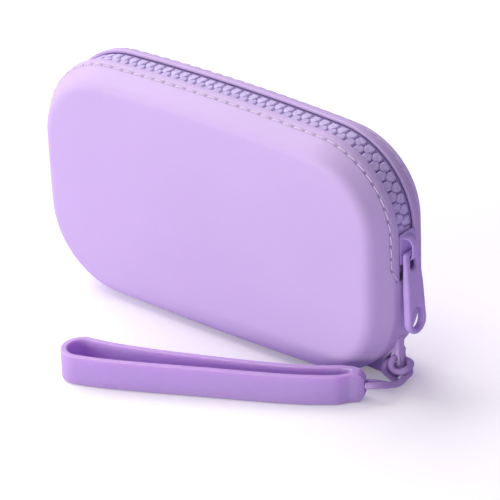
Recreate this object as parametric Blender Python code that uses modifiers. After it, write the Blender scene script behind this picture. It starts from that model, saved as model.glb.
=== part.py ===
"""A moulded silicone makeup bag with a sewn-in zip and a wrist strap.

The bag stands on its flattened foot. X runs along its length, the front faces -Y and Z is up.
The origin is the middle of the foot. The zip runs over the top and part of the way down both
ends, its slider parked at the right end, and the strap hangs from a lug at the lower right corner.
"""

import math

import bmesh
import bpy
import numpy as np
from mathutils import Matrix, Vector

# Outline of the bag, an oval of arcs: it rises above its widest level and drops below it, and
# the foot flattens the lowest part of the drop
BAG_LENGTH = 0.135
RISE = 0.0296
DROP = 0.0517
FOOT_SINK = 0.002
SIDE_RADIUS = 0.769
TOP_RADIUS = 0.762
BOTTOM_RADIUS = 1.417
TOP_CORNER_RADIUS = 0.0277
BOTTOM_CORNER_RADIUS = 0.029
FOOT_BLEND = 0.001

# Cross-section of one half: distance from the middle plane, and inset from the outline
SLOT_HALF_WIDTH = 0.0044
LIP_DEPTH = 0.006
LIP_INSET = 0.00025
WALL_DEPTH = 0.0108
WALL_INSET = 0.0033
EDGE_DEPTH = 0.0133
EDGE_INSET = 0.0075
CROWN = 0.0012
WALL = 0.0018
SLOT_END_DROP = 0.0137

# The whole part's clearance between pieces that touch
FIT = 0.0003

# Lug at the lower right corner, with the hole that the cord is hitched through. Its margin runs
# from the middle of the hole to its right edge, its root from the middle of the corner's arc.
LUG_THICKNESS = 0.003
LUG_MARGIN = 0.0029
LUG_LOW = 0.0006
LUG_ROOT_LEVEL = 0.0011
LUG_ROOT_OFFSET = 0.01333
LUG_TOP_LEVEL = 0.0146
LUG_CORNER = 0.002
LUG_EDGE = 0.0004
CORD_DIAMETER = 0.002
CORD_ROOM = 0.0005
HOLE_DISTANCE = 0.0024
HOLE_DIRECTION = math.radians(-42)

# Zip: tape, moulded teeth and stops
TAPE_THICKNESS = 0.0005
TAPE_TAIL = 0.004
TAPE_REACH_SHARE = 0.8
TOOTH_THICKNESS = 0.0026
CHAIN_HALF_WIDTH = 0.0031
TOOTH_PITCH = 0.00336
TOOTH_BASE = 0.00095
TOOTH_HEAD = 0.0009
CORD_BEAD_WIDTH = 0.0012
CORD_BEAD_HEIGHT = 0.0015
STOP_LENGTH = 0.003
STOP_EDGE = 0.0003

# Zip slider, in a frame whose X points out of the bag and whose Z follows the zip
SLIDER_LENGTH = 0.0102
SLIDER_CENTRE = 0.0101
SLIDER_HALF_WIDTH = 0.004
SLIDER_CORNER = 0.0012
SLIDER_PLATE = 0.0009
SLIDER_EDGE = 0.0003
DIAMOND_TIP = 0.0004
DIAMOND_WIDEST = 0.0036
DIAMOND_HALF_WIDTH = 0.0015
DIAMOND_END_HALF_WIDTH = 0.0009
BRIDGE_HALF_WIDTH = 0.0011
BRIDGE_THICKNESS = 0.0009
BRIDGE_TOP = 0.004
BRIDGE_BOTTOM = 0.0041
BRIDGE_BEND = 0.002

# Zip pull, hung by the bar above its eye
PULL_LENGTH = 0.0274
PULL_TOP_HALF_WIDTH = 0.0031
PULL_END_HALF_WIDTH = 0.004
PULL_THICKNESS = 0.0026
PULL_BAR = 0.0015
PULL_BAR_DROP = 0.0015
PULL_FLARE = 0.0109
PULL_CORNER = 0.0012
PULL_EDGE = 0.0004
EYE_LENGTH = 0.0046
GRIP_HOLE_LENGTH = 0.006
GRIP_HOLE_WIDTH = 0.004
GRIP_HOLE_MARGIN = 0.0018
PULL_TILT = math.radians(2.5)

# Wrist strap: a closed band on its edge, ending in a solid nose that holds the cord. The nose
# lies at its offset from the middle of the lug's hole, seen from above.
STRAP_LENGTH = 0.0935
STRAP_HEIGHT = 0.0095
STRAP_BAND = 0.0019
STRAP_NOSE_HALF_WIDTH = 0.0016
STRAP_NECK = 0.0075
STRAP_NECK_HALF_WIDTH = 0.0039
STRAP_END_HALF_WIDTH = 0.0065
STRAP_NOSE = 0.0042
STRAP_BOW = 0.0036
STRAP_NOSE_HEIGHT = 0.0054
STRAP_NOSE_TAPER = 0.0018
STRAP_EDGE = 0.0003
STRAP_NOSE_OFFSET = (0.0013, -0.0158)
STRAP_DIRECTION = math.radians(204.5)

# How the band widens towards its far end, and how its corners crowd near the nose
STRAP_SPREAD_POWER = 2.3
STRAP_STEP_POWER = 1.2

# Route of the cord: from the strap's nose up through the lug's hole from the front, round the
# lug's right edge, through the hole again, down behind, round the edge below and back to the
# nose. These are offsets from the middle of the lug's hole, chosen by hand for a lug of the
# route's margin; the ones beyond it move with the lug's edge, the legs' ends stay at the nose.
ROUTE_MARGIN = 0.0029
ROUTE_LEG_POINTS = 8
CORD_ROUTE = (
    (0.0012, -0.0146, -0.0010),
    (0.0024, -0.0134, -0.0013),
    (0.0030, -0.0120, -0.0020),
    (0.0032, -0.0100, -0.0032),
    (0.0034, -0.0079, -0.0044),
    (0.0037, -0.0060, -0.0052),
    (0.0037, -0.0044, -0.0053),
    (0.0027, -0.0032, -0.0053),
    (0.0014, -0.0030, -0.0050),
    (0.0002, -0.0032, -0.0043),
    (-0.0010, -0.0036, -0.0030),
    (-0.0011, -0.0032, -0.0016),
    (-0.0009, -0.0020, -0.0010),
    (-0.0008, 0.0002, -0.0009),
    (-0.0005, 0.0020, -0.0011),
    (0.0007, 0.0030, -0.0015),
    (0.0024, 0.0031, -0.0016),
    (0.0040, 0.0026, -0.0015),
    (0.0051, 0.0013, -0.0015),
    (0.0056, -0.0003, -0.0015),
    (0.0056, -0.0018, -0.0015),
    (0.0049, -0.0030, -0.0018),
    (0.0036, -0.0034, -0.0020),
    (0.0022, -0.0033, -0.0020),
    (0.0014, -0.0032, -0.0013),
    (0.0011, -0.0029, -0.0001),
    (0.0010, -0.0016, 0.0009),
    (0.0009, 0.0002, 0.0010),
    (0.0008, 0.0022, 0.0014),
    (0.0002, 0.0038, 0.0012),
    (-0.0010, 0.0052, 0.0005),
    (-0.0016, 0.0059, -0.0005),
    (-0.0016, 0.0059, -0.0020),
    (-0.0008, 0.0053, -0.0032),
    (0.0008, 0.0040, -0.0039),
    (0.0026, 0.0031, -0.0042),
    (0.0041, 0.0022, -0.0042),
    (0.0049, 0.0008, -0.0042),
    (0.0052, -0.0008, -0.0040),
    (0.0055, -0.0022, -0.0039),
    (0.0059, -0.0036, -0.0039),
    (0.0060, -0.0049, -0.0040),
    (0.0059, -0.0065, -0.0039),
    (0.0057, -0.0083, -0.0034),
    (0.0054, -0.0110, -0.0025),
    (0.0050, -0.0133, -0.0016),
    (0.0039, -0.0154, -0.0011),
    (0.0021, -0.0167, -0.0010),
)

# How far cutters run past what they cut
OVERRUN = 0.002

# Values worked out from those above: the bag's widest level, the weld that closes caps, the
# depth of the zip's middle line (the middle of the tape, which lies under the bag's wall), half
# the slider's channel and how far the pull's bar stands out of the zip's middle line
WIDEST_LEVEL = DROP - FOOT_SINK
WELD = FIT / 100
ZIP_INSET = WALL + FIT + TAPE_THICKNESS / 2
CHANNEL_HALF = TOOTH_THICKNESS / 2 + FIT
PIVOT_OUT = CHANNEL_HALF + SLIDER_PLATE + FIT + PULL_BAR / 2

# Angles from which edges are shown sharp and are rounded
SHARP_ANGLE = math.radians(35)
BEVEL_ANGLE = math.radians(40)

# Segment counts
CORNER_STEPS = 8
SIDE_STEPS = 2
TOP_STEPS = 5
FILLET_STEPS = 4
ROUND_STEPS = 8
BAND_STEPS = 14
CORD_SIDES_RESOLUTION = 2
FACE_RING_SHARES = (0.84, 0.6, 0.3)

# Tooth stations along a pitch, as shares of it, with the section that stands there
TOOTH_STATION_SHARES = (
    (-0.36, "bead"),
    (-0.28, "base"),
    (-0.13, "head"),
    (0.13, "head"),
    (0.28, "base"),
    (0.36, "bead"),
)

# Colours as linear RGB, roughness, metallic
MATERIALS = {
    "silicone": ((0.60, 0.45, 0.84), 0.55, 0.0),
    "strap": ((0.42, 0.27, 0.64), 0.55, 0.0),
    "tape": ((0.45, 0.36, 0.66), 0.9, 0.0),
    "teeth": ((0.52, 0.46, 0.72), 0.35, 0.0),
    "slider": ((0.30, 0.17, 0.55), 0.35, 0.0),
}


def corner_arc(rise, corner_radius, end_radius):
    """Centre of the arc that joins the side arc to the top or bottom arc, and its two angles.

    It is worked out in the first quadrant, from the widest level. The arc touches both others
    from inside, so its centre lies at the difference of the radii from each of their centres.
    """
    side = Vector((BAG_LENGTH / 2 - SIDE_RADIUS, 0))
    end = Vector((0, rise - end_radius))
    from_end = end_radius - corner_radius
    from_side = SIDE_RADIUS - corner_radius
    apart = side - end
    along = (from_end**2 - from_side**2 + apart.length_squared) / (2 * apart.length)
    across = math.sqrt(from_end**2 - along**2)
    unit = apart.normalized()
    centre = end + unit * along + Vector((unit.y, -unit.x)) * across
    first = math.atan2(centre.y - side.y, centre.x - side.x)
    last = math.atan2(centre.y - end.y, centre.x - end.x)
    return centre, first, last


TOP_CORNER, TOP_CORNER_START, TOP_CORNER_END = corner_arc(RISE, TOP_CORNER_RADIUS, TOP_RADIUS)
LOW_CORNER, LOW_CORNER_START, LOW_CORNER_END = corner_arc(DROP, BOTTOM_CORNER_RADIUS, BOTTOM_RADIUS)
ZIP_CORNER_CENTRE = Vector((TOP_CORNER.x, 0, WIDEST_LEVEL + TOP_CORNER.y))
LOW_CORNER_CENTRE = Vector((LOW_CORNER.x, 0, WIDEST_LEVEL - LOW_CORNER.y))
HOLE_OUT = Vector((math.cos(HOLE_DIRECTION), 0, math.sin(HOLE_DIRECTION)))
HOLE_PLACE = LOW_CORNER_CENTRE + HOLE_OUT * (BOTTOM_CORNER_RADIUS + HOLE_DISTANCE)
LUG_RIGHT = HOLE_PLACE.x + LUG_MARGIN
LUG_ROOT = LOW_CORNER_CENTRE.x + LUG_ROOT_OFFSET
SIDE_CENTRE_X = BAG_LENGTH / 2 - SIDE_RADIUS
SLOT_END_ANGLE = -math.asin(SLOT_END_DROP / SIDE_RADIUS)


def zip_arcs(tail):
    """Arcs of the outline along the zip, from the right slot end over the top to the left one.

    Each is (centre x, centre z, radius, first angle, last angle), and the run is longer than
    the slot by the tail at both ends.
    """
    start = SLOT_END_ANGLE - tail / SIDE_RADIUS
    top_z = WIDEST_LEVEL + RISE - TOP_RADIUS
    corner_z = WIDEST_LEVEL + TOP_CORNER.y
    half = math.pi
    return [
        (SIDE_CENTRE_X, WIDEST_LEVEL, SIDE_RADIUS, start, TOP_CORNER_START),
        (TOP_CORNER.x, corner_z, TOP_CORNER_RADIUS, TOP_CORNER_START, TOP_CORNER_END),
        (0, top_z, TOP_RADIUS, TOP_CORNER_END, half - TOP_CORNER_END),
        (-TOP_CORNER.x, corner_z, TOP_CORNER_RADIUS, half - TOP_CORNER_END, half - TOP_CORNER_START),
        (-SIDE_CENTRE_X, WIDEST_LEVEL, SIDE_RADIUS, half - TOP_CORNER_START, half - start),
    ]


def low_arcs():
    """Arcs of the outline from the left slot end round the bottom to the right one."""
    half, whole = math.pi, 2 * math.pi
    low_z = WIDEST_LEVEL - DROP + BOTTOM_RADIUS
    corner_z = WIDEST_LEVEL - LOW_CORNER.y
    return [
        (-SIDE_CENTRE_X, WIDEST_LEVEL, SIDE_RADIUS, half - SLOT_END_ANGLE, half + LOW_CORNER_START),
        (-LOW_CORNER.x, corner_z, BOTTOM_CORNER_RADIUS, half + LOW_CORNER_START, half + LOW_CORNER_END),
        (0, low_z, BOTTOM_RADIUS, half + LOW_CORNER_END, whole - LOW_CORNER_END),
        (LOW_CORNER.x, corner_z, BOTTOM_CORNER_RADIUS, whole - LOW_CORNER_END, whole - LOW_CORNER_START),
        (SIDE_CENTRE_X, WIDEST_LEVEL, SIDE_RADIUS, whole - LOW_CORNER_START, whole + SLOT_END_ANGLE),
    ]


def stations(arcs, steps):
    """Rows of centre x, centre z, radius and angle along arcs that meet end to end."""
    rows = []
    for (x, z, radius, first, last), count in zip(arcs, steps):
        angles = np.linspace(first, last, count + 1)
        rows += [(x, z, radius, angle) for angle in angles[bool(rows) :]]
    return np.array(rows)


def inset_points(rows, inset, depth):
    """Points of the outline drawn in by the inset, at one depth from the middle plane."""
    radius = rows[:, 2] - inset
    x = rows[:, 0] + radius * np.cos(rows[:, 3])
    z = rows[:, 1] + radius * np.sin(rows[:, 3])
    return np.stack([x, np.full(len(rows), depth), z], axis=1)


def half_profile():
    """Points (depth, inset) of one half from the slot's lip to the end of the fillet.

    The fillet is a quadratic curve whose middle point is where the wall, drawn on, meets the
    depth of the front face.
    """
    slope = (WALL_INSET - LIP_INSET) / (WALL_DEPTH - LIP_DEPTH)
    middle = WALL_INSET + slope * (EDGE_DEPTH - WALL_DEPTH)
    share = np.linspace(0, 1, FILLET_STEPS + 1)[1:]
    near, mid, far = (1 - share) ** 2, 2 * share * (1 - share), share**2
    depth = near * WALL_DEPTH + (mid + far) * EDGE_DEPTH
    inset = near * WALL_INSET + mid * middle + far * EDGE_INSET
    start = [(SLOT_HALF_WIDTH, 0), (LIP_DEPTH, LIP_INSET), (WALL_DEPTH, WALL_INSET)]
    return start + list(zip(depth, inset))


def zip_place(distance):
    """Place and frame on the zip's middle line, at a distance along it from the right slot end.

    The frame's X points out of the bag, its Y is the bag's and its Z follows the zip.
    """
    left = distance
    arcs = zip_arcs(0)
    for index, (x, z, radius, first, last) in enumerate(arcs):
        length = (last - first) * (radius - ZIP_INSET)
        if left <= length or index == len(arcs) - 1:
            angle = first + left / (radius - ZIP_INSET)
            break
        left -= length
    out = Vector((math.cos(angle), 0, math.sin(angle)))
    along = Vector((-math.sin(angle), 0, math.cos(angle)))
    spot = Vector((x, 0, z)) + out * (radius - ZIP_INSET)
    frame = Matrix((out, Vector((0, 1, 0)), along)).transposed().to_4x4()
    return Matrix.Translation(spot) @ frame


def zip_length():
    """Length of the zip's middle line from slot end to slot end."""
    return sum((last - first) * (radius - ZIP_INSET) for _, _, radius, first, last in zip_arcs(0))


def clear_scene():
    for thing in list(bpy.data.objects):
        bpy.data.objects.remove(thing, do_unlink=True)


def new_collection(name):
    collection = bpy.data.collections.new(name)
    bpy.context.scene.collection.children.link(collection)
    return collection


def material(node, kind):
    colour, roughness, metallic = MATERIALS[kind]
    made = bpy.data.materials.new(node)
    made.use_nodes = True
    shader = made.node_tree.nodes["Principled BSDF"]
    shader.inputs["Base Color"].default_value = (*colour, 1)
    shader.inputs["Roughness"].default_value = roughness
    shader.inputs["Metallic"].default_value = metallic
    made.diffuse_color = (*colour, 1)
    return made


def add_object(name, mesh, collection, kind=None):
    thing = bpy.data.objects.new(name, mesh)
    collection.objects.link(thing)
    if kind:
        mesh.materials.clear()
        mesh.materials.append(material(name, kind))
        mesh.shade_smooth()
        mesh.set_sharp_from_angle(angle=SHARP_ANGLE)
    return thing


def hide_cutter(thing):
    thing.hide_render = True
    thing.display_type = "WIRE"


def grid_faces(rows, columns, closed=False):
    """Quads between the rows of a grid of points, closed round each row or open."""
    last = columns if closed else columns - 1
    faces = []
    for row in range(rows - 1):
        for column in range(last):
            beside = (column + 1) % columns
            start, above = row * columns, (row + 1) * columns
            faces.append((start + column, start + beside, above + beside, above + column))
    return faces


def outward(mesh):
    work = bmesh.new()
    work.from_mesh(mesh)
    bmesh.ops.recalc_face_normals(work, faces=work.faces)
    work.to_mesh(mesh)
    work.free()


def flat_outline(name, outlines, half_thickness):
    """Mesh of flat outlines, the first filled and the others holes in it, thick both ways.

    The outlines lie in the curve's XY plane.
    """
    curve = bpy.data.curves.new(name, "CURVE")
    curve.dimensions = "2D"
    curve.fill_mode = "BOTH"
    curve.extrude = half_thickness
    for outline in outlines:
        spline = curve.splines.new("POLY")
        spline.points.add(len(outline) - 1)
        spline.use_cyclic_u = True
        for point, (x, y) in zip(spline.points, outline):
            point.co = (x, y, 0, 1)
    return curve_mesh(name, curve)


def curve_mesh(name, curve):
    """A curve made a mesh, with its caps welded on and the curve removed."""
    guide = bpy.data.objects.new(name + "_curve", curve)
    bpy.context.scene.collection.objects.link(guide)
    bpy.context.view_layer.update()
    evaluated = guide.evaluated_get(bpy.context.evaluated_depsgraph_get())
    mesh = bpy.data.meshes.new_from_object(evaluated)
    mesh.name = name
    work = bmesh.new()
    work.from_mesh(mesh)
    bmesh.ops.remove_doubles(work, verts=work.verts, dist=WELD)
    work.to_mesh(mesh)
    work.free()
    bpy.data.objects.remove(guide, do_unlink=True)
    return mesh


def arc_points(centre, radius, first, last, steps):
    angles = np.linspace(math.radians(first), math.radians(last), steps + 1)
    x, y = centre
    return [(x + radius * math.cos(a), y + radius * math.sin(a)) for a in angles]


def rounded_box(left, right, low, high, radius, steps=3):
    """Outline of a rectangle with round corners, counterclockwise from its lower right."""
    outline = arc_points((right - radius, low + radius), radius, -90, 0, steps)
    outline += arc_points((right - radius, high - radius), radius, 0, 90, steps)
    outline += arc_points((left + radius, high - radius), radius, 90, 180, steps)
    outline += arc_points((left + radius, low + radius), radius, 180, 270, steps)
    return outline


def add_boolean(thing, operation, other):
    modifier = thing.modifiers.new(operation.title(), "BOOLEAN")
    modifier.operation = operation
    modifier.solver = "EXACT"
    modifier.object = other


def add_bevel(thing, width, segments=2):
    modifier = thing.modifiers.new("Bevel", "BEVEL")
    modifier.width = width
    modifier.segments = segments
    modifier.limit_method = "ANGLE"
    modifier.angle_limit = BEVEL_ANGLE


def flattened(points):
    """Heights of the outside eased up onto the foot, as soft silicone stands under its weight.

    Below minus the blend they are zero, above it unchanged, and between them they follow a
    parabola that meets both.
    """
    z = points[:, 2]
    eased = (z + FOOT_BLEND) ** 2 / (4 * FOOT_BLEND)
    points[:, 2] = np.where(z < -FOOT_BLEND, 0, np.where(z > FOOT_BLEND, z, eased))
    return points


def add_shell(parts, cutters):
    upper = stations(zip_arcs(0), (SIDE_STEPS, CORNER_STEPS, 2 * TOP_STEPS, CORNER_STEPS, SIDE_STEPS))
    lower = stations(low_arcs(), (SIDE_STEPS, CORNER_STEPS, 2 * TOP_STEPS, CORNER_STEPS, SIDE_STEPS))
    ring = np.vstack([upper, lower[1:-1]])
    around = len(ring)
    rings = [inset_points(ring, inset, -depth) for depth, inset in half_profile()]
    edge = rings[-1]
    middle = np.array([0, -EDGE_DEPTH - CROWN, (edge[:, 2].max() + edge[:, 2].min()) / 2])
    for share in FACE_RING_SHARES:
        face_ring = middle + (edge - middle) * share
        face_ring[:, 1] = -EDGE_DEPTH - CROWN * (1 - share**2)
        rings.append(face_ring)
    points = np.vstack([*rings, middle[None], inset_points(lower, 0, 0)])
    faces = grid_faces(len(rings), around, closed=True)
    pole = len(rings) * around
    last = pole - around
    faces += [(last + i, last + (i + 1) % around, pole) for i in range(around)]
    band = pole + 1
    start = len(upper) - 1
    for i in range(len(lower) - 1):
        rim, beside = (start + i) % around, (start + i + 1) % around
        faces.append((band + i, band + i + 1, beside, rim))
    mesh = bpy.data.meshes.new("bag_shell")
    mesh.from_pydata(flattened(points).tolist(), [], faces)
    shell = add_object("bag_shell", mesh, parts, "silicone")

    mirror = shell.modifiers.new("Mirror", "MIRROR")
    mirror.use_axis = (False, True, False)
    mirror.merge_threshold = WELD
    wall = shell.modifiers.new("Wall", "SOLIDIFY")
    wall.thickness = WALL
    wall.offset = -1
    wall.use_even_offset = True

    add_boolean(shell, "UNION", lug_plate(cutters))
    add_boolean(shell, "DIFFERENCE", lug_hole(cutters))
    return shell


def low_corner_angle(x, z):
    return math.degrees(math.atan2(z - LOW_CORNER_CENTRE.z, x - LOW_CORNER_CENTRE.x))


def lug_plate(cutters):
    """Plate that fills the outside of the lower right corner, rooted in the wall's middle."""
    root_radius = BOTTOM_CORNER_RADIUS - WALL / 2
    first = low_corner_angle(LUG_ROOT, LUG_ROOT_LEVEL)
    last = low_corner_angle(LUG_RIGHT, LUG_TOP_LEVEL)
    corner = (LUG_RIGHT - LUG_CORNER, LUG_LOW + LUG_CORNER)
    outline = [(LUG_ROOT, LUG_ROOT_LEVEL)]
    outline += arc_points(corner, LUG_CORNER, -90, 0, 4)
    outline += [(LUG_RIGHT, LUG_TOP_LEVEL)]
    centre = (LOW_CORNER_CENTRE.x, LOW_CORNER_CENTRE.z)
    outline += arc_points(centre, root_radius, last, first, CORNER_STEPS)
    plate = add_object("lug_plate", flat_outline("lug_plate", [outline], LUG_THICKNESS / 2), cutters)
    plate.rotation_euler.x = math.pi / 2
    add_bevel(plate, LUG_EDGE, 1)
    hide_cutter(plate)
    return plate


def lug_hole(cutters):
    """Slot through the lug for the cord's two strands, its long way along the bag's corner."""
    half_width = CORD_DIAMETER / 2 + CORD_ROOM
    half_length = CORD_DIAMETER + 2 * CORD_ROOM
    rounding = half_width - WELD
    outline = rounded_box(-half_width, half_width, -half_length, half_length, rounding, 4)
    hole = add_object("lug_hole", flat_outline("lug_hole", [outline], LUG_THICKNESS), cutters)
    turn = Matrix.Rotation(-HOLE_DIRECTION, 4, "Y") @ Matrix.Rotation(math.pi / 2, 4, "X")
    hole.matrix_world = Matrix.Translation(HOLE_PLACE) @ turn
    hide_cutter(hole)
    return hole


def add_tape(parts, name, side):
    """Woven tape, from beside the teeth to under the bag's wall, parallel to the wall."""
    rows = stations(
        zip_arcs(TAPE_TAIL),
        (SIDE_STEPS + 1, CORNER_STEPS, 2 * TOP_STEPS, CORNER_STEPS, SIDE_STEPS + 1),
    )
    under = WALL + FIT
    lip_slope = math.atan2(LIP_INSET, LIP_DEPTH - SLOT_HALF_WIDTH)
    wall_slope = math.atan2(WALL_INSET - LIP_INSET, WALL_DEPTH - LIP_DEPTH)
    reach_depth = LIP_DEPTH + (WALL_DEPTH - LIP_DEPTH) * TAPE_REACH_SHARE
    reach_inset = LIP_INSET + (WALL_INSET - LIP_INSET) * TAPE_REACH_SHARE
    bend = (lip_slope + wall_slope) / 2
    miter = under / math.cos((wall_slope - lip_slope) / 2)
    profile = [
        (CHAIN_HALF_WIDTH + FIT, under),
        (SLOT_HALF_WIDTH - under * math.sin(lip_slope) / 2, under),
        (LIP_DEPTH - miter * math.sin(bend), LIP_INSET + miter * math.cos(bend)),
        (reach_depth - under * math.sin(wall_slope), reach_inset + under * math.cos(wall_slope)),
    ]
    lines = [inset_points(rows, inset, side * depth) for depth, inset in profile]
    faces = grid_faces(len(lines), len(rows))
    if side > 0:
        faces = [face[::-1] for face in faces]
    mesh = bpy.data.meshes.new(name)
    mesh.from_pydata(np.vstack(lines).tolist(), [], faces)
    tape = add_object(name, mesh, parts, "tape")
    woven = tape.modifiers.new("Thickness", "SOLIDIFY")
    woven.thickness = TAPE_THICKNESS
    woven.offset = -1
    woven.use_even_offset = True
    return tape


def tooth_section(kind, side):
    """Corners (out, across) of a row's section at a station, counterclockwise along the zip."""
    outer = CHAIN_HALF_WIDTH
    inner, half = {
        "bead": (outer - CORD_BEAD_WIDTH, CORD_BEAD_HEIGHT / 2),
        "base": (TOOTH_BASE, TOOTH_THICKNESS / 2),
        "head": (-TOOTH_HEAD, TOOTH_THICKNESS / 2),
    }[kind]
    return [(half, side * outer), (half, side * inner), (-half, side * inner), (-half, side * outer)]


def row_start():
    """Where the teeth begin, past the point of the slider's diamond."""
    return SLIDER_CENTRE + DIAMOND_TIP + FIT


def tooth_count():
    """Teeth of one row, as many as fit before the zip's far end."""
    end = zip_length() - SLIDER_CENTRE / 2
    return int((end - row_start()) / TOOTH_PITCH - 0.5)


def add_teeth(parts, name, side, shift):
    """Moulded teeth fused to the bead of one tape, one body swept along the zip."""
    points, columns = [], 0
    for tooth in range(tooth_count()):
        for share, kind in TOOTH_STATION_SHARES:
            distance = row_start() + (tooth + 0.5 + shift + share) * TOOTH_PITCH
            place = zip_place(distance)
            section = tooth_section(kind, side)
            columns = len(section)
            points += [place @ Vector((out, across, 0)) for out, across in section]
    rows = len(points) // columns
    faces = grid_faces(rows, columns, closed=True)
    faces.append(tuple(range(columns)))
    faces.append(tuple(range(len(points) - 1, len(points) - 1 - columns, -1)))
    mesh = bpy.data.meshes.new(name)
    mesh.from_pydata([tuple(point) for point in points], [], faces)
    outward(mesh)
    return add_object(name, mesh, parts, "teeth")


def row_end():
    """Where the last tooth of either row ends."""
    return row_start() + (tooth_count() + 1) * TOOTH_PITCH


def add_stop(parts, name, distance, low, high):
    """Moulded block across the zip from low to high, at a distance along it."""
    half = TOOTH_THICKNESS / 2
    outline = rounded_box(low, high, -STOP_LENGTH / 2, STOP_LENGTH / 2, CORD_BEAD_WIDTH / 4)
    stop = add_object(name, flat_outline(name, [outline], half), parts, "teeth")
    stop.matrix_world = zip_place(distance) @ face_out()
    add_bevel(stop, STOP_EDGE, 1)
    return stop


def face_out():
    """Turns a flat outline so that its X lies across the zip, its Y along it and its Z outwards."""
    return Matrix(((0, 0, 1, 0), (1, 0, 0, 0), (0, 1, 0, 0), (0, 0, 0, 1)))


def zip_cutter(name, outlines, low, high, cutters):
    """Cutter with flat outlines drawn across and along the zip, from low to high outwards."""
    mesh = flat_outline(name, outlines, (high - low) / 2)
    mesh.transform(Matrix.Translation(((low + high) / 2, 0, 0)) @ face_out())
    cutter = add_object(name, mesh, cutters)
    hide_cutter(cutter)
    return cutter


def bridge_outline():
    """Side view (out, along) of the arch that holds the pull, its feet sunk in the plate."""
    plate = CHANNEL_HALF + SLIDER_PLATE
    root = plate - SLIDER_PLATE / 2
    top = PIVOT_OUT + PULL_BAR / 2 + FIT + BRIDGE_THICKNESS
    outer = [(root, -BRIDGE_BOTTOM), (plate, -BRIDGE_BOTTOM)]
    outer += arc_points((top - BRIDGE_BEND, BRIDGE_BEND - BRIDGE_BOTTOM), BRIDGE_BEND, -60, 0, 3)
    outer += arc_points((top - BRIDGE_BEND, BRIDGE_TOP - BRIDGE_BEND), BRIDGE_BEND, 0, 60, 3)
    outer += [(plate, BRIDGE_TOP), (root, BRIDGE_TOP)]
    bend = BRIDGE_BEND - BRIDGE_THICKNESS
    low, high = BRIDGE_THICKNESS - BRIDGE_BOTTOM, BRIDGE_TOP - BRIDGE_THICKNESS
    inside = top - BRIDGE_THICKNESS
    inner = [(root, high), (plate, high)]
    inner += arc_points((inside - bend, high - bend), bend, 60, 0, 3)
    inner += arc_points((inside - bend, low + bend), bend, 0, -60, 3)
    inner += [(plate, low), (root, low)]
    return outer + inner


def add_slider(parts, cutters, corner):
    """Slider: two plates joined by the diamond, flanges with a slit for the tapes, and the arch."""
    half_length = SLIDER_LENGTH / 2
    outside = CHANNEL_HALF + SLIDER_PLATE
    body = rounded_box(-SLIDER_HALF_WIDTH, SLIDER_HALF_WIDTH, -half_length, half_length, SLIDER_CORNER)
    mesh = flat_outline("slider", [body], outside)
    mesh.transform(face_out())
    slider = add_object("slider", mesh, parts, "slider")
    add_bevel(slider, SLIDER_EDGE)

    inside = CHAIN_HALF_WIDTH + FIT
    past = half_length + OVERRUN
    channel = rounded_box(-inside, inside, -past, past, FIT)
    diamond = [
        (0, DIAMOND_TIP),
        (-DIAMOND_HALF_WIDTH, -DIAMOND_WIDEST),
        (-DIAMOND_END_HALF_WIDTH, -half_length),
        (DIAMOND_END_HALF_WIDTH, -half_length),
        (DIAMOND_HALF_WIDTH, -DIAMOND_WIDEST),
    ]
    cut = zip_cutter("slider_channel", [channel, diamond], -CHANNEL_HALF, CHANNEL_HALF, cutters)
    add_boolean(slider, "DIFFERENCE", cut)
    slit = TAPE_THICKNESS / 2 + FIT
    wide = SLIDER_HALF_WIDTH + OVERRUN
    for name, left, right in (("front_slit", -wide, -DIAMOND_HALF_WIDTH - FIT),
                              ("back_slit", DIAMOND_HALF_WIDTH + FIT, wide)):
        outline = rounded_box(left, right, -past, past, FIT)
        add_boolean(slider, "DIFFERENCE", zip_cutter(name, [outline], -slit, slit, cutters))

    arch_mesh = flat_outline("slider_arch", [bridge_outline()], BRIDGE_HALF_WIDTH)
    arch_mesh.transform(Matrix.Rotation(math.pi / 2, 4, "X"))
    arch = add_object("slider_arch", arch_mesh, cutters)
    add_bevel(arch, SLIDER_EDGE / 2, 1)
    hide_cutter(arch)
    add_boolean(slider, "UNION", arch)

    place = zip_place(SLIDER_CENTRE)
    for thing in [slider] + [m.object for m in slider.modifiers if m.type == "BOOLEAN"]:
        thing.matrix_world = place
    hang_on(slider, corner)
    return slider


def hang_on(thing, parent):
    """Parents an object and leaves it where it is."""
    bpy.context.view_layer.update()
    world = thing.matrix_world.copy()
    thing.parent = parent
    thing.matrix_parent_inverse = parent.matrix_world.inverted()
    thing.matrix_world = world


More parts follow.
